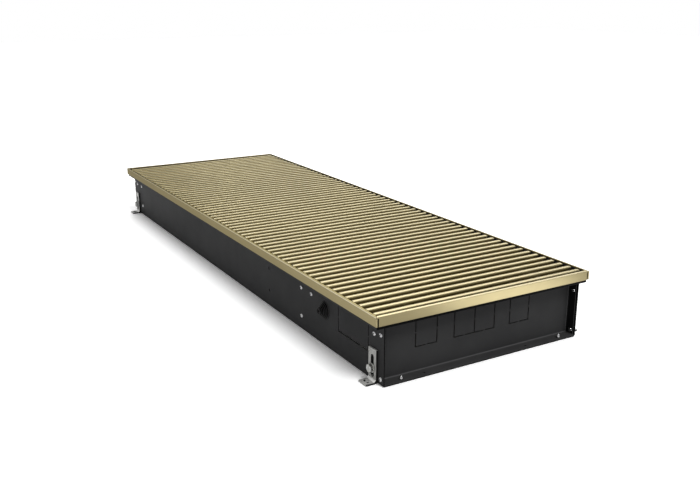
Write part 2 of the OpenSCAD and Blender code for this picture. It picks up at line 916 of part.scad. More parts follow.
// The vent's bleed screw, with a slot across its head
module bleed_screw() {
    x0 = tube_x[0] - fitting_af / 2 - vent_l;
    head_gap = 0.3;
    color(brass) difference() {
        union() {
            rod_x(vent_y, row_high, x0 - head_gap, x0 + vent_l - 1, bleed_d / 2);
            rod_x(vent_y, row_high, x0 - head_gap - bleed_head_h, x0 - head_gap,
                  bleed_head_d / 2);
        }
        block([x0 - head_gap - bleed_head_h - 1, vent_y - bleed_head_d, row_high - 0.5],
              [x0 - head_gap - bleed_head_h + 1.2, vent_y + bleed_head_d, row_high + 0.5]);
    }
}

// A straight piece of sheet in the section plane, from p to q, laid on the left of that line
module sheet_line(p, q) {
    run = norm(q - p);
    translate(p) rotate(atan2(q[1] - p[1], q[0] - p[0])) square([run, sheet]);
}

// The fan housing's section: rear guide, floor of the outlet, intake lip and tongue
module fan_section() {
    guide_out = scroll_r + sheet;
    far_r = 3 * scroll_r;
    middle_angle = (rear_angle + 270) / 2;
    rear_start = [fan_x + guide_out * cos(rear_angle), fan_z + guide_out * sin(rear_angle)];
    intake_edge = [rear_start[0] - 7, intake_top - sheet];
    tongue_r = impeller_r + scroll_gap / 2;
    tongue = [fan_x + tongue_r * cos(tongue_angle), fan_z + tongue_r * sin(tongue_angle)];
    translate([fan_x, fan_z]) intersection() {
        difference() {
            circle(guide_out);
            circle(scroll_r);
        }
        polygon([
            [0, 0],
            far_r * [cos(rear_angle), sin(rear_angle)],
            far_r * [cos(middle_angle), sin(middle_angle)],
            far_r * [0, -1],
        ]);
    }
    translate([fan_x, fan_z - guide_out]) square([outlet_reach, sheet]);
    sheet_line(intake_edge, rear_start);
    translate([-lining_w, intake_edge[1]]) square([intake_edge[0] + lining_w + sheet, sheet]);
    translate(tongue) circle(sheet);
    sheet_line([outlet_x, outlet_top - sheet], tongue);
}

// The fan housing between its end plate and the back partition
module fan_housing() {
    color(zinc) along_y(end_plate_y + sheet + seam, back_plate - seam) fan_section();
}

// The plate that closes the housing and carries the motor's nose
module fan_end_plate() {
    color(zinc) difference() {
        block([-lining_w, end_plate_y, floor_z], [outlet_x, end_plate_y + sheet, intake_top]);
        rod_y(fan_x, fan_z, end_plate_y - 1, end_plate_y + sheet + 1, boss_r + ring_lip);
    }
}

// One curved blade, drawn with its root on the inner circle
function blade_edge(side) = [
    for (i = [0 : 6]) let (s = i / 6, lean = 34 * s * (1 - s) + 14 * s, r = impeller_r - 0.6
        - blade_depth * (1 - s))
        [r * cos(lean) - side * blade_t / 2 * sin(lean), r * sin(lean) + side * blade_t / 2 * cos(lean)]
];

// The impeller: rows of blades between discs, with a hub at each end
module impeller_wheel() {
    wheel_l = wheel_back - wheel_front;
    stretches = ceil((wheel_l - disc_t) / disc_pitch);
    step = (wheel_l - disc_t) / stretches;
    color(dark_plastic) translate([fan_x, wheel_back, fan_z]) rotate([90, 0, 0])
    difference() {
        union() {
            linear_extrude(wheel_l) for (i = [0 : blades - 1]) {
                rotate(i * 360 / blades)
                    polygon(concat(blade_edge(-1), [for (k = [6 : -1 : 0]) blade_edge(1)[k]]));
            }
            for (i = [0 : stretches]) {
                translate([0, 0, i * step]) linear_extrude(disc_t) difference() {
                    circle(impeller_r);
                    if (i > 0 && i < stretches) circle(impeller_r - blade_depth - 2);
                }
            }
            cylinder(h = hub_l, r = hub_r);
            translate([0, 0, wheel_l - hub_l]) cylinder(h = hub_l, r = hub_r);
        }
        translate([0, 0, -1]) cylinder(h = wheel_l + 2, r = shaft_r + shaft_grip);
    }
}

// The shaft stub that runs in the end bearing
module stub_shaft() {
    color(zinc) rod_y(fan_x, fan_z, wheel_back - hub_l, back_plate + bush_l, shaft_r);
}

// The sintered bush at the fan's far end
module end_bearing() {
    y0 = back_plate + sheet / 2 - bush_l / 2;
    color(brass) sleeve_y(fan_x, fan_z, y0, y0 + bush_l, bush_r, shaft_r + run_gap);
}

// A rubber ring with a groove for a plate whose faces are y0 and y0 + sheet
module mount_ring(y0, inner_r) {
    lip_w = 1.6;
    color(dark_rubber) {
        sleeve_y(fan_x, fan_z, y0 - lip_w, y0, inner_r + 2 * ring_lip, inner_r + ring_play);
        sleeve_y(fan_x, fan_z, y0, y0 + sheet, inner_r + ring_lip - ring_play,
                 inner_r + ring_play);
        sleeve_y(fan_x, fan_z, y0 + sheet, y0 + sheet + lip_w, inner_r + 2 * ring_lip,
                 inner_r + ring_play);
    }
}

module bearing_ring() {
    mount_ring(back_plate, bush_r);
}

module motor_mount_rings() {
    mount_ring(front_plate - sheet, boss_r);
    mount_ring(end_plate_y, boss_r);
}

// The motor's can, open at the front, with a boss on its back
module motor_housing() {
    color(zinc) difference() {
        union() {
            rod_y(fan_x, fan_z, motor_back, motor_front - end_cap_t, motor_r);
            rod_y(fan_x, fan_z, motor_back - boss_l, motor_back, boss_r);
        }
        rod_y(fan_x, fan_z, motor_back + motor_wall, motor_front, motor_r - motor_wall);
        rod_y(fan_x, fan_z, motor_back - boss_l + 1, motor_back + motor_wall + 1,
              bush_r + ring_play);
        rod_y(lead_x, lead_z, motor_back - 1, motor_back + 2 * motor_wall,
              lead_d / 2 + lead_play);
    }
}

// The motor's front cap and nose
module motor_end_cap() {
    color(zinc) difference() {
        union() {
            rod_y(fan_x, fan_z, motor_front - end_cap_t, motor_front, motor_r);
            rod_y(fan_x, fan_z, motor_front, motor_front + boss_l, boss_r);
        }
        rod_y(fan_x, fan_z, motor_front - end_cap_t - 1, motor_front + boss_l - 1,
              bush_r + ring_play);
        rod_y(fan_x, fan_z, motor_front, motor_front + boss_l + 1, shaft_r + 1);
    }
}

// The wound stator, a ring in the can
module motor_stator() {
    middle = (motor_back + motor_front) / 2;
    color(copper) sleeve_y(fan_x, fan_z, middle - rotor_l / 2, middle + rotor_l / 2,
                           motor_r - motor_wall - ring_play, stator_in);
}

// The rotor on the motor's shaft
module motor_rotor() {
    middle = (motor_back + motor_front) / 2;
    color(dark_plastic) sleeve_y(fan_x, fan_z, middle - rotor_l / 2, middle + rotor_l / 2,
                                 rotor_r, shaft_r + shaft_grip);
}

// The motor's shaft, from the back bearing into the impeller's hub
module motor_shaft() {
    color(zinc) rod_y(fan_x, fan_z, motor_back - boss_l + 1.5, wheel_front + hub_l, shaft_r);
}

// The two bushes in the motor's bosses
module motor_bearings() {
    color(brass) {
        sleeve_y(fan_x, fan_z, motor_back - boss_l + 1.5, motor_back - boss_l + 1.5 + bush_l,
                 bush_r, shaft_r + run_gap);
        sleeve_y(fan_x, fan_z, motor_front + boss_l - 1.5 - bush_l, motor_front + boss_l - 1.5,
                 bush_r, shaft_r + run_gap);
    }
}

// The four corners of the terminal box, where its posts and lid screws stand
module box_corners() {
    for (x = [box_x + post_in, box_x + box_w - post_in]) {
        for (y = [box_front + post_in, box_back - post_in]) {
            translate([x, y, 0]) children();
        }
    }
}

// The open box beside the grommet
module terminal_box() {
    top = floor_z + box_h;
    color(pale_plastic) difference() {
        union() {
            difference() {
                block([box_x, box_front, floor_z], [box_x + box_w, box_back, top]);
                block([box_x + box_wall, box_front + box_wall, floor_z + box_wall],
                      [box_x + box_w - box_wall, box_back - box_wall, top + 1]);
            }
            box_corners() translate([0, 0, floor_z]) cylinder(h = box_h, r = post_r);
        }
        rod_x(grommet_y, grommet_z, box_x - 1, box_x + box_wall + 1, cable_d / 2 + 2);
        rod_y(lead_x, lead_z, box_back - box_wall - 1, box_back + 1, lead_d / 2 + 2 * bush_lip);
        box_corners() translate([0, 0, top - lid_hole_l])
            cylinder(h = lid_hole_l + 1, d = lid_screw_d + 0.1);
    }
}

// The lid, with a rib that drops inside the walls
module terminal_box_lid() {
    top = floor_z + box_h;
    rib_in = box_wall + 2 * post_r + 0.5;
    color(pale_plastic) difference() {
        union() {
            block([box_x, box_front, top], [box_x + box_w, box_back, top + lid_t]);
            block([box_x + rib_in, box_front + rib_in, top - 2],
                  [box_x + box_w - rib_in, box_back - rib_in, top]);
        }
        box_corners() translate([0, 0, top - 1]) cylinder(h = lid_t + 2, d = lid_screw_d + 0.3);
    }
}

// The lid's cross-head screws
module lid_screws() {
    top = floor_z + box_h + lid_t;
    shank_l = lid_t + lid_screw_l;
    color(zinc) box_corners() difference() {
        union() {
            translate([0, 0, top - shank_l]) cylinder(h = shank_l, d = lid_screw_d);
            translate([0, 0, top]) cylinder(h = lid_head_h, d = lid_head_d);
        }
        translate([0, 0, top + lid_head_h]) {
            cube([lid_drive_l, lid_drive_w, lid_head_h], center = true);
            cube([lid_drive_w, lid_drive_l, lid_head_h], center = true);
        }
    }
}

// The places of the terminals along the block
module at_poles() {
    middle = (box_front + box_back) / 2;
    for (i = [0 : poles - 1]) {
        translate([box_x + box_w / 2, middle + (i - (poles - 1) / 2) * pole_pitch,
                   floor_z + box_wall + block_h]) children();
    }
}

// The terminal block on the floor of the box
module terminal_block() {
    middle = (box_front + box_back) / 2;
    x = box_x + box_w / 2;
    z = floor_z + box_wall;
    color(dark_plastic) difference() {
        block([x - block_w / 2, middle - poles * pole_pitch / 2, z],
              [x + block_w / 2, middle + poles * pole_pitch / 2, z + block_h]);
        at_poles() translate([0, 0, -pole_hole_l])
            cylinder(h = pole_hole_l + 1, d = pole_screw_d + 0.2);
    }
}

// The clamp screws of the terminals
module terminal_screws() {
    color(brass) at_poles() difference() {
        translate([0, 0, -pole_hole_l]) cylinder(h = pole_screw_l, d = pole_screw_d);
        translate([0, 0, pole_screw_l - pole_hole_l])
            cube([pole_screw_d + 1, lid_drive_w, lid_head_h], center = true);
    }
}

// The lead from the terminal box through the partition into the motor
module motor_lead() {
    color(dark_rubber) rod_y(lead_x, lead_z, box_back - box_wall - 6,
                             motor_back + 1.5 * motor_wall, lead_d / 2);
}

// A bush round the lead in a plate that runs from y0 to y1
module lead_bush(y0, y1) {
    bore = lead_d / 2 + lead_play;
    neck = lead_d / 2 + 2 * bush_lip - lead_play;
    lip = lead_d / 2 + 3 * bush_lip;
    sleeve_y(lead_x, lead_z, y0 - bush_lip, y0, lip, bore);
    sleeve_y(lead_x, lead_z, y0, y1, neck, bore);
    sleeve_y(lead_x, lead_z, y1, y1 + bush_lip, lip, bore);
}

module lead_bushes() {
    color(dark_rubber) {
        lead_bush(box_back - box_wall, box_back);
        lead_bush(front_plate - sheet, front_plate);
    }
}

// One slat, with rounded top edges and a bore for each tie wire
module slat() {
    side = slat_w / 2 - slat_round;
    difference() {
        along_x(-slat_l / 2, slat_l / 2) {
            translate([-slat_w / 2, slat_low]) square([slat_w, slat_h - slat_round]);
            translate([-side, slat_low]) square([2 * side, slat_h]);
            for (y = [-side, side]) {
                translate([y, slat_top - slat_round]) circle(slat_round);
            }
        }
        for (x = [-tie_x, tie_x]) {
            rod_y(x, tie_z, -slat_w, slat_w, tie_bore / 2);
        }
    }
}

module grille_slats() {
    color(champagne) for (i = [0 : slat_steps]) {
        translate([0, (i - slat_steps / 2) * slat_pitch, 0]) slat();
    }
}

// The wires that the slats are threaded on
module grille_tie_wires() {
    wire_end = end_slat_face + ferrule_l;
    color(zinc) for (x = [-tie_x, tie_x]) {
        rod_y(x, tie_z, -wire_end, wire_end, tie_d / 2);
    }
}

// The sleeves on the wires that keep the slats apart
module grille_spacers() {
    half_gap = (slat_pitch - slat_w) / 2 - 0.02;
    color(dark_plastic) for (x = [-tie_x, tie_x]) {
        difference() {
            for (i = [0 : slat_steps - 1]) {
                y = (i + 0.5 - slat_steps / 2) * slat_pitch;
                rod_y(x, tie_z, y - half_gap, y + half_gap, spacer_d / 2);
            }
            rod_y(x, tie_z, -frame_half_l, frame_half_l, tie_bore / 2);
        }
    }
}

// The crimped ferrules on the wires' ends
module grille_ferrules() {
    color(zinc) both_ends() for (x = [-tie_x, tie_x]) {
        sleeve_y(x, tie_z, end_slat_face + 0.05, end_slat_face + ferrule_l,
                 spacer_d / 2, tie_d / 2 + shaft_grip);
    }
}

trough();
end_wall_front();
end_wall_back();
wall_rivets();
strip_rivets();
frame_rail_left();
frame_rail_right();
frame_rail_front();
frame_rail_back();
seat_strips();
cable_grommet();
cross_brace();
partition_front();
partition_back();
foot_clamp_bolts();
foot_washers();
foot_inserts();
foot_front_left();
foot_front_right();
foot_back_left();
foot_back_right();
heating_tubes();
fin_pack();
return_bends();
supply_fitting();
return_fitting();
tube_collars();
air_vent_body();
bleed_screw();
fan_housing();
fan_end_plate();
impeller_wheel();
stub_shaft();
end_bearing();
bearing_ring();
motor_housing();
motor_end_cap();
motor_stator();
motor_rotor();
motor_shaft();
motor_bearings();
motor_mount_rings();
terminal_box();
terminal_box_lid();
lid_screws();
terminal_block();
terminal_screws();
motor_lead();
lead_bushes();
grille_slats();
grille_tie_wires();
grille_spacers();
grille_ferrules();
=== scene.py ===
# Trench convector heater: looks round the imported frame.
import json
import math

import bmesh
import bpy
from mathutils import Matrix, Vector
from mathutils.bvhtree import BVHTree


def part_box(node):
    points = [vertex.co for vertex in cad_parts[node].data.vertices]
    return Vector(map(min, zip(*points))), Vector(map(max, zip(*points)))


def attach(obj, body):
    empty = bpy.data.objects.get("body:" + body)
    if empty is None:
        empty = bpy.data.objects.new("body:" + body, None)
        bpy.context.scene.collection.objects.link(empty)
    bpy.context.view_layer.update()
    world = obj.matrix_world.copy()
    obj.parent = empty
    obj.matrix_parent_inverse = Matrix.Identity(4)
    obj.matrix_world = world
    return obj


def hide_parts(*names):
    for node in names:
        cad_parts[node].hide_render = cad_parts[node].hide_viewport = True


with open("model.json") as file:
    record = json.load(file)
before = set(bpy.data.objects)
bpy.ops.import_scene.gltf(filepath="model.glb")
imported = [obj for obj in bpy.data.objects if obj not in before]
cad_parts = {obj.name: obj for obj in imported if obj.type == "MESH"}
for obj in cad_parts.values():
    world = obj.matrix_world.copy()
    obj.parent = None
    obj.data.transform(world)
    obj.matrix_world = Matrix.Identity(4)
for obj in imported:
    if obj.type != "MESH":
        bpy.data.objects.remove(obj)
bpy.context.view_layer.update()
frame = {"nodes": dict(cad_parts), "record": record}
nodes = frame["nodes"]
record = frame["record"]
slotOf = {part["node"]: part["material_slot"] for part in record["subparts"]}
bodyOf = {node: body for body, members in record["behaviour"]["bodies"].items() for node in members}
mm = 0.001
print("frame loaded:", len(nodes), "nodes")

# Camera and stage, in metres and degrees
cameraSet = {
    "place": (-0.51905, -1.0093, 0.3598),
    "pitch": -17.0097, "yaw": -30.3655, "lens": 42.905, "sensor": 36,
    "sees": (0.01, 60),  # from and to which distance
}
stageSet = {
    "floorSize": 12, "floorLow": -0.1 * mm,
    "floorSeen": 1.35,  # the floor's colour for the camera, so that it stays white
    "floorGloss": 0.9, "floorBounce": 0.8,
    "skySeen": 1, "skyLight": 0.5, "skyGloss": 0.66, "skyGlossLow": 0.16,
    "skyRise": (0.12, 0.34),  # heights of a ray between which the sky brightens
    "keyStrength": 1.75, "keyAngle": 24, "keyTowards": (-0.10, 0.62, -1.0),
}
lampSet = {
    "back": {
        "shape": "RECTANGLE", "size": (2.4, 1.5), "power": 76,
        "place": (2.0, 2.75, 1.95), "aim": (0, 0, 0), "diffuse": True,
    },
    "sheen": {  # seen only in reflections, for the bright middle of the front rail
        "shape": "ELLIPSE", "size": (0.22, 0.16), "power": 0.26,
        "place": (0.148, -0.56, 0.002), "aim": (0.148, -0.56, 1), "diffuse": False,
    },
}


def addNode(tree, kind, feeds=None, **settings):
    # a node with its settings, and its sockets linked or set
    node = tree.nodes.new(kind)
    for key, value in settings.items():
        setattr(node, key, value)
    for key, value in (feeds or {}).items():
        if isinstance(value, bpy.types.NodeSocket):
            tree.links.new(value, node.inputs[key])
        else:
            node.inputs[key].default_value = value
    return node


def firstOut(tree, kind, feeds=None, **settings):
    return addNode(tree, kind, feeds, **settings).outputs[0]


def maths(tree, operation, *values, clamped=False):
    feeds = dict(enumerate(values))
    return firstOut(tree, "ShaderNodeMath", feeds, operation=operation, use_clamp=clamped)


def times(tree, product, *values):
    for value in values:
        product = maths(tree, "MULTIPLY", product, value)
    return product


def scaled(tree, value, factor):
    feeds = {0: value, "Scale": factor}
    return firstOut(tree, "ShaderNodeVectorMath", feeds, operation="SCALE")


def mixColour(tree, factor, first, second):
    feeds = {"Factor": factor, "A": first, "B": second}
    return addNode(tree, "ShaderNodeMix", feeds, data_type="RGBA").outputs["Result"]


def ramped(tree, value, low, high):
    feeds = {"Value": value, "From Min": low, "From Max": high}
    return firstOut(tree, "ShaderNodeMapRange", feeds, interpolation_type="SMOOTHSTEP")


def grey(value):
    return (value, value, value, 1)


def newObject(name, data):
    made = bpy.data.objects.new(name, data)
    bpy.context.scene.collection.objects.link(made)
    return made


def makeCamera():
    data = bpy.data.cameras.new("camera")
    data.lens = cameraSet["lens"]
    data.sensor_width = cameraSet["sensor"]
    data.clip_start, data.clip_end = cameraSet["sees"]
    camera = newObject("camera", data)
    camera.location = cameraSet["place"]
    pitch, yaw = cameraSet["pitch"], cameraSet["yaw"]
    camera.rotation_euler = (math.radians(90 + pitch), 0, math.radians(yaw))
    bpy.context.scene.camera = camera
    bpy.context.scene.view_settings.view_transform = "Standard"


def byRay(tree, seen, gloss, light):
    # one colour for the camera, one for reflections and one for the light on the object
    path = addNode(tree, "ShaderNodeLightPath").outputs
    mirrored = maths(tree, "MAXIMUM", path["Is Glossy Ray"], path["Is Transmission Ray"])
    level = mixColour(tree, mirrored, light, gloss)
    return mixColour(tree, path["Is Camera Ray"], level, seen)


def makeWorld():
    world = bpy.data.worlds.new("studio")
    world.use_nodes = True
    tree = world.node_tree
    tree.nodes.clear()
    way = addNode(tree, "ShaderNodeTexCoord").outputs["Generated"]
    height = addNode(tree, "ShaderNodeSeparateXYZ", {0: way}).outputs["Z"]
    rise = ramped(tree, height, *stageSet["skyRise"])
    gloss = mixColour(tree, rise, grey(stageSet["skyGlossLow"]), grey(stageSet["skyGloss"]))
    colour = byRay(tree, grey(stageSet["skySeen"]), gloss, grey(stageSet["skyLight"]))
    sky = firstOut(tree, "ShaderNodeBackground", {"Color": colour, "Strength": 1})
    addNode(tree, "ShaderNodeOutputWorld", {"Surface": sky})
    bpy.context.scene.world = world


def makeFloor():
    half, low = stageSet["floorSize"] / 2, stageSet["floorLow"]
    mesh = bpy.data.meshes.new("floor")
    corners = [(-half, -half, low), (half, -half, low), (half, half, low), (-half, half, low)]
    mesh.from_pydata(corners, [], [(0, 1, 2, 3)])
    floor = newObject("floor", mesh)
    mat = bpy.data.materials.new("paleFloor")
    mat.use_nodes = True
    tree = mat.node_tree
    tree.nodes.clear()
    tones = [grey(stageSet[key]) for key in ("floorSeen", "floorGloss", "floorBounce")]
    diffuse = firstOut(tree, "ShaderNodeBsdfDiffuse", {"Color": byRay(tree, *tones)})
    addNode(tree, "ShaderNodeOutputMaterial", {"Surface": diffuse})
    mesh.materials.append(mat)


def aimLamp(lamp, towards):
    lamp.rotation_euler = towards.to_track_quat("-Z", "Y").to_euler()


def makeLamps():
    key = bpy.data.lights.new("key", "SUN")
    key.energy = stageSet["keyStrength"]
    key.angle = math.radians(stageSet["keyAngle"])
    aimLamp(newObject("key", key), Vector(stageSet["keyTowards"]))
    for name, facts in lampSet.items():
        light = bpy.data.lights.new(name, "AREA")
        light.shape = facts["shape"]
        light.size, light.size_y = facts["size"]
        light.energy = facts["power"]
        lamp = newObject(name, light)
        lamp.location = facts["place"]
        aimLamp(lamp, Vector(facts["aim"]) - Vector(facts["place"]))
        lamp.visible_camera = False
        lamp.visible_diffuse = facts["diffuse"]


makeCamera()
makeWorld()
makeFloor()
makeLamps()
print("camera, floor and lamps ready")


def newTree(kind, name, inputs):
    # inputs: the names of its sockets, by their kind
    tree = bpy.data.node_groups.new(name, kind)
    for socket, labels in inputs.items():
        for label in labels:
            tree.interface.new_socket(label, in_out="INPUT", socket_type="NodeSocket" + socket)
    return tree, tree.nodes.new("NodeGroupInput").outputs


# Shader groups that several finishes share
def startGroup(name, **inputs):
    tree, given = newTree("ShaderNodeTree", name, inputs)
    return tree, given, addNode(tree, "ShaderNodeTexCoord").outputs


def endGroup(tree, results):
    for label in results:
        kind = "NodeSocketColor" if label == "Color" else "NodeSocketFloat"
        tree.interface.new_socket(label, in_out="OUTPUT", socket_type=kind)
    addNode(tree, "NodeGroupOutput", results)
    return tree


def noise(tree, place, scale, detail=3, roughness=0.55):
    feeds = {"Vector": place, "Scale": scale, "Detail": detail, "Roughness": roughness}
    return addNode(tree, "ShaderNodeTexNoise", feeds).outputs["Fac"]


def swing(tree, value, amount):
    # a value round a half becomes a smaller one round zero
    return times(tree, maths(tree, "SUBTRACT", value, 0.5), amount)


def makeToneShift():
    # slow drift between two tones
    tree, given, place = startGroup("toneShift", Color=["Tone", "Other Tone"], Float=["Scale"])
    mask = ramped(tree, noise(tree, place["Object"], given["Scale"], 4, 0.6), 0.36, 0.66)
    return endGroup(tree, {"Color": mixColour(tree, mask, given["Tone"], given["Other Tone"])})


def makeEdgeWear():
    # edges where the coat is thin or polished by handling
    tree, given, place = startGroup("edgeWear", Float=["Width", "Amount", "Scale"])
    bevel = firstOut(tree, "ShaderNodeBevel", {"Radius": given["Width"]}, samples=4)
    feeds = {0: bevel, 1: addNode(tree, "ShaderNodeNewGeometry").outputs["Normal"]}
    same = addNode(tree, "ShaderNodeVectorMath", feeds, operation="DOT_PRODUCT").outputs["Value"]
    edge = ramped(tree, maths(tree, "SUBTRACT", 1.0, same), 0.02, 0.22)
    broken = ramped(tree, noise(tree, place["Object"], given["Scale"]), 0.34, 0.62)
    return endGroup(tree, {"Mask": times(tree, edge, broken, given["Amount"])})


def makeFineGrain():
    # grain of a coat or a moulded skin, with the roughness that goes with it
    tree, given, place = startGroup("fineGrain", Float=["Scale", "Roughness", "Spread"])
    fine = noise(tree, place["Object"], given["Scale"], 2, 0.5)
    slow = noise(tree, place["Object"], times(tree, given["Scale"], 0.04), 3)
    rough = maths(tree, "ADD", given["Roughness"], swing(tree, slow, given["Spread"]))
    rough = maths(tree, "ADD", rough, swing(tree, fine, given["Spread"]), clamped=True)
    return endGroup(tree, {"Height": fine, "Roughness": rough})


def makeDrawnLines():
    # fine lines left by rolling, drawing or brushing: Stretch is small along the lines
    tree, given, place = startGroup("drawnLines", Vector=["Stretch"], Float=["Contrast"])
    feeds = {0: place["Object"], 1: given["Stretch"]}
    pulled = firstOut(tree, "ShaderNodeVectorMath", feeds, operation="MULTIPLY")
    lines = noise(tree, pulled, 1.0, 4, 0.65)
    tone = maths(tree, "ADD", 1.0, swing(tree, lines, given["Contrast"]))
    return endGroup(tree, {"Height": lines, "Tone": tone})


def makeSettledDust():
    # dust on what faces up, thin and patchy
    tree, given, place = startGroup("settledDust", Float=["Amount", "Scale"])
    upward = addNode(tree, "ShaderNodeSeparateXYZ", {0: place["Normal"]}).outputs["Z"]
    level = ramped(tree, upward, 0.35, 1.0)
    patchy = ramped(tree, noise(tree, place["Object"], given["Scale"], 5, 0.7), 0.3, 0.75)
    return endGroup(tree, {"Mask": times(tree, level, patchy, given["Amount"])})


def makeSpangle():
    # crystals of a zinc coat, their borders led astray by a noise
    tree, given, place = startGroup("zincSpangle", Float=["Scale", "Contrast"])
    feeds = {"Vector": place["Object"], "Scale": 90}
    wander = addNode(tree, "ShaderNodeTexNoise", feeds).outputs["Color"]
    feeds = {0: place["Object"], 1: scaled(tree, wander, 0.004)}
    nudged = firstOut(tree, "ShaderNodeVectorMath", feeds, operation="ADD")
    cells = addNode(tree, "ShaderNodeTexVoronoi", {"Vector": nudged, "Scale": given["Scale"]})
    value = firstOut(tree, "ShaderNodeSeparateColor", {0: cells.outputs["Color"]})
    tone = maths(tree, "ADD", 1.0, swing(tree, value, given["Contrast"]))
    return endGroup(tree, {"Tone": tone})


groups = {
    "tone": makeToneShift(),
    "wear": makeEdgeWear(),
    "grain": makeFineGrain(),
    "lines": makeDrawnLines(),
    "dust": makeSettledDust(),
    "spangle": makeSpangle(),
}

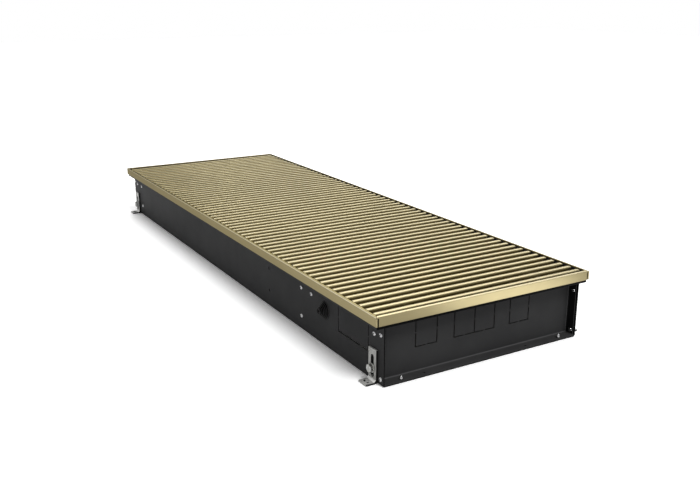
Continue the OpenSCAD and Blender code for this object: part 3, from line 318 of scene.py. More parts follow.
# Finishes: colours are linear, widths and depths are in mm, and a larger scale is finer.
# tone: two colours and the scale of their drift; rough: scale of the grain, roughness, spread
# bump: strength, depth; lines: stretch, contrast, height; spangle: scale, contrast
# wear: width, amount, scale, colour; dust: amount, scale, colour
# bent and dark: colours of the faces that a mesh marks so: bent is a painted highlight on inner
# folds and rail chamfers, and dark is painted shade on cut ends, recesses, hollows and faces in
# shade
# skin: values set on the shader, those of bare metal where none are given
bareMetal = {"Metallic": 1}
anodised = {
    "Metallic": 1, "Specular Tint": (0.25, 0.25, 0.25, 1),
    "Coat Weight": 0.52, "Coat Roughness": 0.3, "Coat IOR": 1.6,
}
finishes = {
    "black_paint": {
        "tone": ((0.034, 0.0341, 0.0349), (0.0396, 0.0397, 0.0403), 14),
        "rough": (950, 0.5, 0.12), "bump": (0.22, 0.06),
        "wear": (0.4, 0.35, 300, (0.05, 0.05, 0.051)),
        # the dark tone is painted shade on cut ends and in the end recesses; the lighter one a
        # painted highlight on the inner folds
        "dark": (0.002, 0.002, 0.002), "bent": (0.0725, 0.0725, 0.0739),
        "dust": (0.05, 70, (0.17, 0.165, 0.155)),
        "skin": {"Specular IOR Level": 0.04, "Metallic": 0},
    },
    "champagne": {
        "tone": ((0.29, 0.242, 0.118), (0.268, 0.224, 0.108), 9),
        "rough": (1400, 0.34, 0.08), "bump": (0.1, 0.02),
        "lines": ((3, 1500, 1500), 0.1, 0.96),
        "wear": (0.35, 0.5, 420, (0.46, 0.41, 0.27)),
        "skin": anodised,
    },
    # the long rails' copy of champagne: its lines run along the rail, its lighter tone is painted
    # light on their side faces, its dark tone painted shade on their tops and its lightest tone a
    # painted highlight on the chamfer
    "champagneAlong": {
        "like": "champagne",
        "tone": ((0.405, 0.342, 0.188), (0.38, 0.32, 0.176), 9),
        "lines": ((1500, 3, 1500), 0.1, 0.96),
        "bent": (0.98, 0.89, 0.62), "dark": (0.215, 0.18, 0.092),
        "skin": {**anodised, "Coat Weight": 0.15},
    },
    "rivet_steel": {
        "tone": ((0.62, 0.62, 0.62), (0.5, 0.5, 0.51), 120),
        "rough": (1600, 0.14, 0.08), "bump": (0.08, 0.02),
        # the dark tone is painted shade in the hollow of the pulled stem
        "dark": (0.05, 0.05, 0.052),
    },
    "zinc_bright": {
        "tone": ((0.62, 0.63, 0.63), (0.52, 0.52, 0.49), 150),
        "rough": (1300, 0.28, 0.14), "bump": (0.1, 0.03),
        "wear": (0.25, 0.6, 600, (0.75, 0.75, 0.75)),
    },
    "zinc_plate": {
        "tone": ((0.45, 0.45, 0.435), (0.37, 0.37, 0.355), 110),
        "rough": (900, 0.36, 0.14), "bump": (0.12, 0.04),
        "lines": ((900, 900, 25), 0.16, 1.44),
        "wear": (0.3, 0.6, 500, (0.62, 0.62, 0.61)),
        # the dark tone is painted shadow on the feet's cut edges; the lighter one a painted
        # highlight at the fold
        "dark": (0.012, 0.012, 0.012), "bent": (0.93, 0.93, 0.91),
        "skin": {"Metallic": 0.3},
    },
    "rubber": {
        "tone": ((0.095, 0.095, 0.096), (0.11, 0.11, 0.112), 90),
        "rough": (1500, 0.42, 0.12), "bump": (0.18, 0.04),
        "wear": (0.25, 0.4, 500, (0.03, 0.03, 0.031)),
        # the dark tone is painted shade in the grommet's grooves
        "dark": (0.0005, 0.0005, 0.0005),
        "skin": {"Specular IOR Level": 0.1, "Metallic": 0},
    },
    "copper": {
        "tone": ((0.6, 0.3, 0.175), (0.4, 0.175, 0.095), 45),
        "rough": (1100, 0.3, 0.2), "bump": (0.08, 0.03),
        "lines": ((1100, 9, 1100), 0.14, 1.12),
        "dust": (0.12, 90, (0.3, 0.24, 0.2)),
    },
    "fin_aluminium": {
        "tone": ((0.66, 0.67, 0.68), (0.58, 0.59, 0.6), 60),
        "rough": (1200, 0.32, 0.12), "bump": (0.08, 0.02),
        "lines": ((1300, 1300, 20), 0.12, 0.8),
        "dust": (0.15, 120, (0.34, 0.33, 0.31)),
    },
    "brass": {
        "tone": ((0.66, 0.47, 0.19), (0.5, 0.33, 0.12), 70),
        "rough": (1300, 0.28, 0.16), "bump": (0.1, 0.02),
        "lines": ((40, 1600, 40), 0.12, 1.12),
        "wear": (0.3, 0.6, 500, (0.8, 0.64, 0.33)),
    },
    "galvanised": {
        "tone": ((0.5, 0.515, 0.525), (0.42, 0.43, 0.44), 30),
        "rough": (700, 0.38, 0.14), "bump": (0.08, 0.03),
        "spangle": (170, 0.34),
        "wear": (0.25, 0.5, 500, (0.66, 0.67, 0.68)),
    },
    "impeller_plastic": {
        "tone": ((0.03, 0.031, 0.034), (0.04, 0.041, 0.043), 60),
        "rough": (1100, 0.44, 0.12), "bump": (0.18, 0.04),
        "wear": (0.3, 0.5, 500, (0.085, 0.085, 0.088)),
        "dust": (0.1, 120, (0.24, 0.23, 0.22)),
        "skin": {"Metallic": 0},
    },
    "shaft_steel": {
        "tone": ((0.58, 0.58, 0.58), (0.48, 0.48, 0.48), 90),
        "rough": (1300, 0.24, 0.12), "bump": (0.06, 0.02),
        "lines": ((25, 1900, 25), 0.12, 0.8),
    },
    "pale_plastic": {
        "tone": ((0.56, 0.56, 0.54), (0.52, 0.52, 0.495), 25),
        "rough": (1300, 0.46, 0.12), "bump": (0.3, 0.05),
        "wear": (0.4, 0.35, 400, (0.66, 0.66, 0.64)),
        "dust": (0.12, 80, (0.36, 0.345, 0.32)),
        "skin": {"Metallic": 0},
    },
    "dark_plastic": {
        "tone": ((0.032, 0.033, 0.035), (0.042, 0.042, 0.044), 50),
        "rough": (1200, 0.46, 0.12), "bump": (0.26, 0.05),
        "wear": (0.3, 0.5, 500, (0.09, 0.09, 0.092)),
        "skin": {"Metallic": 0},
    },
    "lead_sheath": {
        "tone": ((0.016, 0.016, 0.017), (0.022, 0.022, 0.0225), 60),
        "rough": (800, 0.44, 0.14), "bump": (0.2, 0.06),
        "dust": (0.1, 90, (0.2, 0.19, 0.18)),
        "skin": {"Metallic": 0},
    },
}
dustDulls = 0.5  # how much rougher a finish gets where dust lies


def shared(tree, key, *values):
    # a group with its inputs' values in their order
    feeds = dict(enumerate(values))
    return addNode(tree, "ShaderNodeGroup", feeds, node_tree=groups[key]).outputs


def makeFinish(name):
    facts = {**finishes.get(finishes[name].get("like"), {}), **finishes[name]}
    mat = bpy.data.materials.new(name)
    mat.use_nodes = True
    tree = mat.node_tree
    skin = tree.nodes["Principled BSDF"].inputs
    values = facts.get("skin", bareMetal)
    for socket, value in values.items():
        skin[socket].default_value = value
    first, second, scale = facts["tone"]
    colour = shared(tree, "tone", (*first, 1), (*second, 1), scale)["Color"]
    grain = shared(tree, "grain", *facts["rough"])
    rough, height = grain["Roughness"], grain["Height"]
    if "lines" in facts:
        stretch, contrast, relief = facts["lines"]
        lines = shared(tree, "lines", stretch, contrast)
        colour = scaled(tree, colour, lines["Tone"])
        height = maths(tree, "ADD", height, times(tree, lines["Height"], relief))
        rough = maths(tree, "MULTIPLY", rough, lines["Tone"], clamped=True)
    if "spangle" in facts:
        crystals = shared(tree, "spangle", *facts["spangle"])["Tone"]
        colour = scaled(tree, colour, crystals)
        rough = maths(tree, "MULTIPLY", rough, crystals, clamped=True)
    if "wear" in facts:
        width, amount, scale, tone = facts["wear"]
        wear = shared(tree, "wear", width * mm, amount, scale)["Mask"]
        colour = mixColour(tree, wear, colour, (*tone, 1))
    if "dust" in facts:
        amount, scale, tone = facts["dust"]
        dust = shared(tree, "dust", amount, scale)["Mask"]
        colour = mixColour(tree, dust, colour, (*tone, 1))
        rough = maths(tree, "ADD", rough, times(tree, dust, dustDulls), clamped=True)
        if values["Metallic"]:
            tree.links.new(maths(tree, "SUBTRACT", 1.0, dust), skin["Metallic"])
    # faces marked for a painted highlight or for painted shade take these colours
    for label in ("bent", "dark"):
        if label in facts:
            mark = addNode(tree, "ShaderNodeAttribute", attribute_name=label).outputs["Fac"]
            colour = mixColour(tree, mark, colour, (*facts[label], 1))
    strength, depth = facts["bump"]
    feeds = {"Strength": strength, "Distance": depth * mm, "Height": height}
    bump = firstOut(tree, "ShaderNodeBump", feeds)
    for socket, value in (("Base Color", colour), ("Roughness", rough), ("Normal", bump)):
        tree.links.new(value, skin[socket])
    return mat


materials = {name: makeFinish(name) for name in finishes}
for name, node in nodes.items():
    node.data.materials.clear()
    node.data.materials.append(materials[slotOf[name]])
print("finishes ready:", len(materials))


# Making and placing pieces
def settle(piece):
    # the modifiers' result becomes the piece's own plain mesh
    graph = bpy.context.evaluated_depsgraph_get()
    mesh = bpy.data.meshes.new_from_object(piece.evaluated_get(graph), depsgraph=graph)
    piece.modifiers.clear()
    piece.data = mesh
    mesh.name = piece.name


def smooth(mesh, angle=32):
    mesh.shade_smooth()
    mesh.set_sharp_from_angle(angle=math.radians(angle))


def fromWork(name, work, angle=32):
    mesh = bpy.data.meshes.new(name)
    work.to_mesh(mesh)
    work.free()
    smooth(mesh, angle)
    return newObject(name, mesh)


def dress(piece, node, finish=None):
    # gives a piece its finish and body, and lets it stand for its CAD node
    piece.data.materials.clear()
    piece.data.materials.append(materials[finish or slotOf[node]])
    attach(piece, bodyOf[node])
    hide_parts(node)
    return piece


def paintShade(mesh, share):
    # marks faces for the finish's dark tone, which is painted shade: on cut edges, in recesses,
    # hollows and grooves, and on faces in shade
    mark = mesh.attributes.new("dark", "FLOAT", "FACE")
    for face, value in zip(mesh.polygons, mark.data):
        value.value = float(share(face))


# Sheet parts, rails and small parts: CAD nodes with rounded folds and edges
softSet = {
    "weld": 0.002, "flatWithin": 1.5, "foldAngle": 60,
    "foldLength": 3,  # shorter edges aren't folds
    "foldSteps": 4,
    "sheet": 2.2,  # metal that is thinner than this behind an edge makes it a cut edge
    "inset": 0.05, "edgeAngle": 40, "rimWithin": 0.01,
}


def mergedCopy(node):
    work = bmesh.new()
    work.from_mesh(nodes[node].data)
    bmesh.ops.remove_doubles(work, verts=work.verts, dist=softSet["weld"] * mm)
    angle = math.radians(softSet["flatWithin"])
    bmesh.ops.dissolve_limit(work, angle_limit=angle, verts=work.verts, edges=work.edges)
    return work


def bevelled(work, edges, width, steps):
    feeds = {"offset": width * mm, "offset_type": "OFFSET", "segments": steps, "profile": 0.5}
    return bmesh.ops.bevel(work, geom=edges, affect="EDGES", clamp_overlap=False, **feeds)["faces"]


def bendFolds(work, outer, inner):
    # rounds the folds of a sheet part, and leaves its cut edges for the finer bevel; the inner
    # folds are marked for a painted highlight
    bent = work.faces.layers.float.new("bent")
    solid = BVHTree.FromBMesh(work)
    outside, inside = [], []
    for edge in work.edges:
        if len(edge.link_faces) != 2 or edge.calc_length() < softSet["foldLength"] * mm:
            continue
        if edge.calc_face_angle(0) < math.radians(softSet["foldAngle"]):
            continue
        if not edge.is_convex:
            inside.append(edge)
            continue
        middle = (edge.verts[0].co + edge.verts[1].co) / 2
        ways = [-face.normal for face in edge.link_faces]
        start = middle + (ways[0] + ways[1]) * softSet["inset"] * mm
        reach = [solid.ray_cast(start, way)[3] or 0 for way in ways]
        if min(reach) > softSet["sheet"] * mm:
            outside.append(edge)
    for edges, radius, mark in ((outside, outer, 0), (inside, inner, 1)):
        edges = [edge for edge in edges if edge.is_valid]
        if edges:
            for face in bevelled(work, edges, radius, softSet["foldSteps"]):
                face[bent] = mark


def chamferRim(work, width):
    # chamfers the outer top edge of a long rail, and marks the chamfer for a painted highlight
    bent = work.faces.layers.float.new("bent")
    near = softSet["rimWithin"] * mm
    top = max(vert.co.z for vert in work.verts) - near
    side = max(abs(vert.co.x) for vert in work.verts) - near
    rim = [
        edge for edge in work.edges
        if all(vert.co.z > top and abs(vert.co.x) > side for vert in edge.verts)
    ]
    for face in bevelled(work, rim, width, 1):
        face[bent] = 1


def softened(node, edge, folds=None, rim=None, steps=2, finish=None):
    # a copy of a CAD node whose folds and edges are rounded as on the real part
    work = mergedCopy(node)
    if folds:
        bendFolds(work, *folds)
    if rim:
        chamferRim(work, rim)
    piece = fromWork(node.replace("_", ".") + ".part", work)
    if edge:
        bevel = piece.modifiers.new("edges", "BEVEL")
        bevel.width = edge * mm
        bevel.segments = steps
        bevel.limit_method = "ANGLE"
        bevel.angle_limit = math.radians(softSet["edgeAngle"])
        bevel.use_clamp_overlap = False
    piece.modifiers.new("normals", "WEIGHTED_NORMAL").keep_sharp = True
    settle(piece)
    return dress(piece, node, finish)


sheetFolds = (1.5, 0.5)  # radii outside and inside a fold
feet = ["foot_front_left", "foot_front_right", "foot_back_left", "foot_back_right"]
longRails = ["frame_rail_left", "frame_rail_right"]
softPieces = [
    (["trough"], {"edge": 0.12, "folds": sheetFolds}),
    (["end_wall_front", "end_wall_back"], {"edge": 0.12, "folds": (2, 1)}),
    (["partition_front", "partition_back"], {"edge": 0.12, "folds": sheetFolds}),
    (["cross_brace"], {"edge": 0.15, "folds": (2, 0.5)}),
    (["fan_housing", "fan_end_plate"], {"edge": 0.12}),
    (["frame_rail_front", "frame_rail_back"], {"edge": 0.25}),
    (longRails, {"edge": 0.15, "rim": 0.9, "finish": "champagneAlong"}),
    (["seat_strips"], {"edge": 0.3}),
    (feet, {"edge": 0.18, "folds": (2.2, 2)}),
    (["foot_inserts"], {"edge": 0.2}),
    (["heating_tubes"], {"edge": 0.15}),
    (["return_bends"], {"edge": 0}),
    (["air_vent_body"], {"edge": 0.4}),
    (["bleed_screw"], {"edge": 0.2}),
    (["stub_shaft", "motor_shaft"], {"edge": 0.4}),
    (["end_bearing", "bearing_ring", "motor_mount_rings", "motor_bearings"], {"edge": 0.3}),
    (["motor_stator", "motor_rotor"], {"edge": 0.3}),
    (["motor_housing", "motor_end_cap"], {"edge": 0.5, "steps": 3}),
    (["terminal_box"], {"edge": 0.6, "steps": 3}),
    (["terminal_box_lid"], {"edge": 0.7, "steps": 3}),
    (["terminal_block"], {"edge": 0.3}),
    (["terminal_screws"], {"edge": 0.15}),
    (["lid_screws"], {"edge": 0.2}),
    (["motor_lead"], {"edge": 0.3}),
    (["lead_bushes"], {"edge": 0.35}),
    (["grille_tie_wires"], {"edge": 0.3}),
]
soft = {node: softened(node, **facts) for alike, facts in softPieces for node in alike}
recessSet = {"depth": 12.5, "across": 121, "shade": 0.85, "cut": 0.2}
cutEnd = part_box("trough")[1].y - recessSet["cut"] * mm


def recessShade(face):
    # painted shade on the cut ends of the sheets, whose seams lie in shade, and on the inner sides
    # of the shallow recess before an end wall
    x, y = abs(face.center.x), abs(face.center.y)
    if y > cutEnd:
        return abs(face.normal.y) > 0.5
    within = y > cutEnd - recessSet["depth"] * mm and x > recessSet["across"] * mm
    inward = face.normal.x * face.center.x < 0 and abs(face.normal.x) > 0.8
    return recessSet["shade"] * (within and inward)


for shaded, shade in (
    # painted shade on the casing's cut ends and recesses
    (["trough", "end_wall_front", "end_wall_back"], recessShade),
    # painted shadow on the feet's cut edges that face the ends
    (feet, lambda face: abs(face.normal.y) > 0.9),
    # painted shade on the long rails' tops
    (longRails, lambda face: face.normal.z > 0.8),
):
    for node in shaded:
        paintShade(soft[node].data, shade)
print("softened parts ready:", len(soft))


# Turned parts, and shapes for the Geometry Nodes trees
bothSides = (-1, 1)
weld = 0.001 * mm


def turnInto(work, profile, at=(0, 0, 0), axis=(0, 0, 1), segments=32, flats=None):
    # (radius, height) points in mm round an axis; the same first and last point close a ring
    ringed = profile[0] == profile[-1]
    rings = []
    turn = Vector((0, 0, 1)).rotation_difference(Vector(axis)).to_matrix()
    corner = math.pi / 3  # from one corner of a hexagon to the next
    for radius, height in profile[:-1] if ringed else profile:
        ring = []
        for i in range(segments if radius > 0 else 1):
            angle = 2 * math.pi * i / segments
            away = (angle + corner / 2) % corner - corner / 2
            reach = min(radius, flats / 2 / math.cos(away)) if flats else radius
            spot = Vector((reach * math.cos(angle), reach * math.sin(angle), height))
            ring.append(work.verts.new((turn @ spot + Vector(at)) * mm))
        rings.append(ring)
    faces = []
    for low, high in list(zip(rings, rings[1:])) + ([(rings[-1], rings[0])] if ringed else []):
        for i in range(segments):
            k = (i + 1) % segments
            corners = [low[i % len(low)], low[k % len(low)]]
            corners += [high[k % len(high)], high[i % len(high)]]
            corners = list(dict.fromkeys(corners))
            if len(corners) > 2:
                faces.append(work.faces.new(corners))
    bmesh.ops.recalc_face_normals(work, faces=faces)


def turned(name, *parts, angle=32):
    work = bmesh.new()
    for part in parts:
        turnInto(work, **part)
    return fromWork(name, work, angle)


def geo(tree, kind, feeds=None, **settings):
    return firstOut(tree, "GeometryNode" + kind, feeds, **settings)


def startTree(name, **inputs):
    tree, given = newTree("GeometryNodeTree", name, {**inputs, "Material": ["Finish"]})
    tree.is_modifier = True
    return tree, given


def endTree(tree, instances, finish):
    real = geo(tree, "RealizeInstances", {0: instances})
    painted = geo(tree, "SetMaterial", {"Geometry": real, "Material": finish})
    tree.interface.new_socket("Geometry", in_out="OUTPUT", socket_type="NodeSocketGeometry")
    addNode(tree, "NodeGroupOutput", {"Geometry": painted})
    return tree


def vector(tree, x=0.0, y=0.0, z=0.0):
    return firstOut(tree, "ShaderNodeCombineXYZ", {0: x, 1: y, 2: z})


def moved(tree, geometry, place, turn):
    turn = tuple(math.radians(angle) for angle in turn)
    feeds = {"Geometry": geometry, "Translation": place, "Rotation": turn}
    return geo(tree, "Transform", feeds)


def lineOf(tree, count, first, step):
    feeds = {"Count": count, "Start Location": first, "Offset": step}
    return geo(tree, "MeshLine", feeds, mode="OFFSET")


def shapeFrom(tree, given):
    feeds = {"Object": given["Shape"]}
    return addNode(tree, "GeometryNodeObjectInfo", feeds).outputs["Geometry"]


def onPoints(tree, points, shape, turn=(0, 0, 0)):
    feeds = {"Points": points, "Instance": shape, "Rotation": turn}
    return geo(tree, "InstanceOnPoints", feeds)


def makeSlatTree():
    # slats with rounded tops, bored for the tie wires
    tree, given = startTree("slatRow", Int=["Slats"], Float=[
        "Length", "Width", "Height", "Top Round", "Foot Round", "Low Face", "Pitch",
        "Tie Across", "Tie Height", "Bore",
    ])
    width, height, length = given["Width"], given["Height"], given["Length"]
    feeds = {"Width": width, "Height": height}
    section = geo(tree, "CurvePrimitiveQuadrilateral", feeds)
    spot = geo(tree, "InputPosition")
    level = addNode(tree, "ShaderNodeSeparateXYZ", {0: spot}).outputs["Y"]
    upper = maths(tree, "GREATER_THAN", level, 0.0)
    more = maths(tree, "SUBTRACT", given["Top Round"], given["Foot Round"])
    radius = maths(tree, "MULTIPLY_ADD", upper, more, given["Foot Round"])
    feeds = {"Curve": section, "Radius": radius, "Count": 3}
    rounded = geo(tree, "FilletCurve", feeds, mode="POLY")
    face = geo(tree, "FillCurve", {"Curve": rounded}, mode="NGONS")
    feeds = {"Mesh": face, "Offset": vector(tree, z=length), "Individual": False}
    bar = geo(tree, "ExtrudeMesh", feeds, mode="FACES")
    both = addNode(tree, "GeometryNodeJoinGeometry", {0: bar})
    tree.links.new(geo(tree, "FlipFaces", {"Mesh": face}), both.inputs[0])
    feeds = {"Geometry": both.outputs[0], "Distance": weld}
    closed = geo(tree, "MergeByDistance", feeds)
    half = times(tree, length, -0.5)
    rise = maths(tree, "MULTIPLY_ADD", height, 0.5, given["Low Face"])
    slat = moved(tree, closed, vector(tree, x=half, z=rise), (90, 0, 90))
    through = times(tree, width, 3.0)
    feeds = {"Vertices": 16, "Radius": given["Bore"], "Depth": through}
    drill = geo(tree, "MeshCylinder", feeds)
    feeds = {"Mesh 1": slat}
    cut = addNode(tree, "GeometryNodeMeshBoolean", feeds, operation="DIFFERENCE", solver="EXACT")
    for side in (1.0, -1.0):
        across = times(tree, given["Tie Across"], side)
        place = vector(tree, x=across, z=given["Tie Height"])
        tree.links.new(moved(tree, drill, place, (90, 0, 0)), cut.inputs["Mesh 2"])
    steps = times(tree, maths(tree, "SUBTRACT", given["Slats"], 1.0), -0.5)
    first = vector(tree, y=times(tree, steps, given["Pitch"]))
    line = lineOf(tree, given["Slats"], first, vector(tree, y=given["Pitch"]))
    return endTree(tree, onPoints(tree, line, cut.outputs[0]), given["Finish"])


def makeRowTree():
    # one shape repeated along a line
    tree, given = startTree(
        "rowOfShapes", Object=["Shape"], Vector=["First", "Step"], Int=["Count"]
    )
    line = lineOf(tree, given["Count"], given["First"], given["Step"])
    return endTree(tree, onPoints(tree, line, shapeFrom(tree, given)), given["Finish"])


def makeStudTree():
    # one shape on each point, its foot against the face there, turned at random on its axis
    tree, given = startTree(
        "studsOnPoints", Geometry=["Geometry"], Object=["Shape"], Float=["Turn"], Int=["Seed"]
    )
    feeds = {"Name": "facing"}
    facing = geo(tree, "InputNamedAttribute", feeds, data_type="FLOAT_VECTOR")
    aim = firstOut(tree, "FunctionNodeAlignRotationToVector", {"Vector": facing}, axis="Z")
    placed = onPoints(tree, given["Geometry"], shapeFrom(tree, given), aim)
    feeds = {"Min": 0.0, "Max": given["Turn"], "Seed": given["Seed"]}
    chance = addNode(tree, "FunctionNodeRandomValue", feeds, data_type="FLOAT").outputs[1]
    feeds = {"Instances": placed, "Rotation": vector(tree, z=chance), "Local Space": True}
    spun = geo(tree, "RotateInstances", feeds)
    return endTree(tree, spun, given["Finish"])


def makeWheelTree():
    # blades round an axis along Y, in stretches that each stand a little further round
    tree, given = startTree(
        "bladeWheel", Object=["Shape"], Vector=["Centre"], Int=["Blades", "Stretches"],
        Float=["Step", "Skew"],
    )
    blades = given["Blades"]
    total = times(tree, blades, given["Stretches"])
    line = lineOf(tree, total, (0, 0, 0), (0, 0, 0))
    index = geo(tree, "InputIndex")
    past = maths(tree, "DIVIDE", maths(tree, "ADD", index, 0.5), blades)
    stretch = maths(tree, "FLOOR", past)
    along = vector(tree, y=times(tree, stretch, given["Step"]))
    place = firstOut(tree, "ShaderNodeVectorMath", {0: given["Centre"], 1: along})
    points = geo(tree, "SetPosition", {0: line, "Position": place})
    share = maths(tree, "DIVIDE", 2 * math.pi, blades)
    angle = times(tree, index, share)
    angle = maths(tree, "MULTIPLY_ADD", stretch, given["Skew"], angle)
    wheel = onPoints(tree, points, shapeFrom(tree, given), vector(tree, y=angle))
    return endTree(tree, wheel, given["Finish"])


def grow(name, tree, values, points=None):
    # runs a tree with its values and keeps the result as a plain mesh
    piece = newObject(name, points or bpy.data.meshes.new(name + ".seed"))
    build = piece.modifiers.new("build", "NODES")
    build.node_group = tree
    for item in tree.interface.items_tree:
        if item.in_out == "INPUT" and item.name in values:
            build[item.identifier] = values[item.name]
    settle(piece)
    work = bmesh.new()
    work.from_mesh(piece.data)
    bmesh.ops.remove_doubles(work, verts=work.verts, dist=weld)
    bmesh.ops.recalc_face_normals(work, faces=work.faces)
    work.to_mesh(piece.data)
    work.free()
    smooth(piece.data)
    return piece


def studPoints(name, places):
    # places are (point in mm, outward direction)
    mesh = bpy.data.meshes.new(name)
    mesh.from_pydata([Vector(point) * mm for point, way in places], [], [])
    facing = mesh.attributes.new("facing", "FLOAT_VECTOR", "POINT")
    for value, (point, way) in zip(facing.data, places):
        value.vector = way
    return mesh


def studs(name, node, shape, places, turn=360, seed=1):
    finish = materials[slotOf[node]]
    values = {"Shape": shape, "Turn": math.radians(turn), "Seed": seed, "Finish": finish}
    piece = grow(name, studTree, values, studPoints(name + ".points", places))
    bpy.data.objects.remove(shape)
    return piece


def joined(name, pieces):
    work = bmesh.new()
    for piece in pieces:
        work.from_mesh(piece.data)
        bpy.data.objects.remove(piece)
    return fromWork(name, work)


def fourPlaces(across, along, height, facing):
    # a place at both sides and both ends, with the way that it faces there
    return [
        ((side * across, end * along, height), facing(side, end))
        for side in bothSides for end in bothSides
    ]


slatTree = makeSlatTree()
rowTree = makeRowTree()
studTree = makeStudTree()
wheelTree = makeWheelTree()
print("trees ready")

# Grille: slats, spacer sleeves and crimped ferrules
slatCount = 61
slatSet = {
    "Width": 6, "Top Round": 1.0, "Foot Round": 0.3,
    "Tie Across": 85, "Tie Height": 67.8, "Bore": 1.7,
}
low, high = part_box("grille_slats")
slatPitch = (high.y - low.y - slatSet["Width"] * mm) / (slatCount - 1)
slats = grow("grille.slats", slatTree, {
    **{label: value * mm for label, value in slatSet.items()},
    "Slats": slatCount,
    "Length": high.x - low.x,
    "Height": high.z - low.z,
    "Low Face": low.z,
    "Pitch": slatPitch,
    "Finish": materials["champagne"],
})
dress(slats, "grille_slats")

spacerSet = {"bore": 1.7, "radius": 3.5, "edge": (0.25, 0.3), "gap": 0.02, "segments": 16}


def spacerShape():
    bore, radius = spacerSet["bore"], spacerSet["radius"]
    inset, drop = spacerSet["edge"]
    half = (slatPitch / mm - slatSet["Width"]) / 2 - spacerSet["gap"]
    profile = [
        (bore, -half), (radius - inset, -half), (radius, drop - half), (radius, half - drop),
        (radius - inset, half), (bore, half), (bore, -half),
    ]
    return turned("spacerShape", {"profile": profile, "segments": spacerSet["segments"]})


across, height = slatSet["Tie Across"], slatSet["Tie Height"]
places = [
    ((side * across, (i - slatCount / 2) * slatPitch / mm, height), (0, 1, 0))
    for i in range(1, slatCount) for side in bothSides
]
dress(studs("grille.spacers", "grille_spacers", spacerShape(), places), "grille_spacers")

ferruleSet = {
    "profile": [
        (1.52, 0), (3.25, 0), (3.5, 0.25), (3.5, 1.1), (3.1, 1.6), (3.1, 2.4), (3.5, 2.9),
        (3.5, 3.7), (3.25, 3.95), (1.52, 3.95), (1.52, 0),
    ],
}
ferruleShape = turned("ferruleShape", ferruleSet)
ferruleLength = max(height for radius, height in ferruleSet["profile"])
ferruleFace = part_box("grille_ferrules")[1].y / mm - ferruleLength
places = fourPlaces(across, ferruleFace, height, lambda side, end: (0, end, 0))
dress(studs("grille.ferrules", "grille_ferrules", ferruleShape, places), "grille_ferrules")
print("grille ready")

# Rivets with the hollow of their pulled stem, and their tails inside
rivetSet = {
    "head": [
        (2.5, 0), (2.47, 0.2), (2.26, 0.55), (1.88, 0.88), (1.4, 1.1), (1.02, 1.2), (0.86, 1.14),
        (0.8, 0.5), (0.4, 0.6), (0, 0.64),
    ],
    "stem": 1.6,
    "tail": [(0, 1), (1.5, 1), (2.05, 0.75), (2.2, 0.4), (2.1, 0)],  # past the sheets
    "hollow": 0.92, "segments": 28,
    "places": [  # (distance from the end, height, sheets gripped, at the front, at the back)
        (5.5, 52.5, 2.1, True, True), (5.5, 6.6, 2.1, True, True), (17.2, 50, 1, True, True),
        (170, 16.3, 2.1, True, False), (170, 50, 2.1, True, False), (146, 49.7, 2.6, True, False),
        (40, 16.3, 2.1, False, True), (40, 50, 2.1, False, True),
    ],
    "wall": 125, "end": 400,
}


def rivetShape(grip):
    profile = [(radius, -grip - past) for radius, past in rivetSet["tail"]]
    profile += [(rivetSet["stem"], -grip), (rivetSet["stem"], 0)] + rivetSet["head"]
    shape = turned("rivetShape", {"profile": profile, "segments": rivetSet["segments"]})
    rim = rivetSet["hollow"] * mm
    # painted shade in the hollow of the pulled stem
    paintShade(shape.data, lambda face: face.center.z > 0 and face.center.xy.length < rim)
    return shape


groupsOfRivets = []
for grip in sorted({row[2] for row in rivetSet["places"]}):
    places = []
    for fromEnd, z, gripped, front, back in rivetSet["places"]:
        for end in [way for way, used in ((-1, front), (1, back)) if used and gripped == grip]:
            y = end * (rivetSet["end"] - fromEnd)
            places += [((side * rivetSet["wall"], y, z), (side, 0, 0)) for side in bothSides]
    groupsOfRivets.append(studs("rivets", "wall_rivets", rivetShape(grip), places))
dress(joined("wall.rivets", groupsOfRivets), "wall_rivets")

# Rivets in the bottom strips: flush heads below, blind tails above
blindSet = {
    "profile": [
        (0, -2.1), (1.6, -2.1), (1.6, -0.1), (1.72, 0), (1.9, 0.5), (1.85, 1.6), (1.72, 2.5),
        (1.62, 2.9), (1.45, 3), (1.35, 3.02), (1.4, 3.3), (1.3, 3.7), (0.95, 4.05), (0.5, 4.17),
        (0, 4.2),
    ],
    "segments": 24,
}
stripSet = {"across": 102.7, "fromEnd": 3.4, "top": 2.1}
stripY = rivetSet["end"] - stripSet["fromEnd"]
places = fourPlaces(stripSet["across"], stripY, stripSet["top"], lambda side, end: (0, 0, 1))
blindShape = turned("blindShape", blindSet)
dress(studs("strip.rivets", "strip_rivets", blindShape, places), "strip_rivets")

# Clamp bolts with chamfered heads and threaded shanks, and their washers
boltSet = {
    "flats": 8, "shank": 11.4, "point": 1.9, "segments": 36,
    "thread": 2.5, "threadDepth": 0.35, "pitch": 0.8,
    "head": [
        (3.75, 0), (3.75, 0.2), (4.7, 0.25), (4.7, 2.9), (4.3, 3.1), (3.95, 3.28), (3.6, 3.43),
        (3.2, 3.5), (2.5, 3.46), (2.2, 3.25), (0, 3.2),
    ],
    "threadEnds": (0.5, -0.9),  # above the point, and under the head
    "under": 128.4, "along": 382.8, "height": 15, "turn": 50, "seed": 4,
}
washerSet = {
    "profile": [
        (2.55, 0.12), (2.7, 0), (4.8, 0), (5, 0.2), (5, 0.75), (4.75, 1), (2.8, 1), (2.55, 0.8),
        (2.55, 0.12),
    ],
    "segments": 40,
}
washerThickness = 1


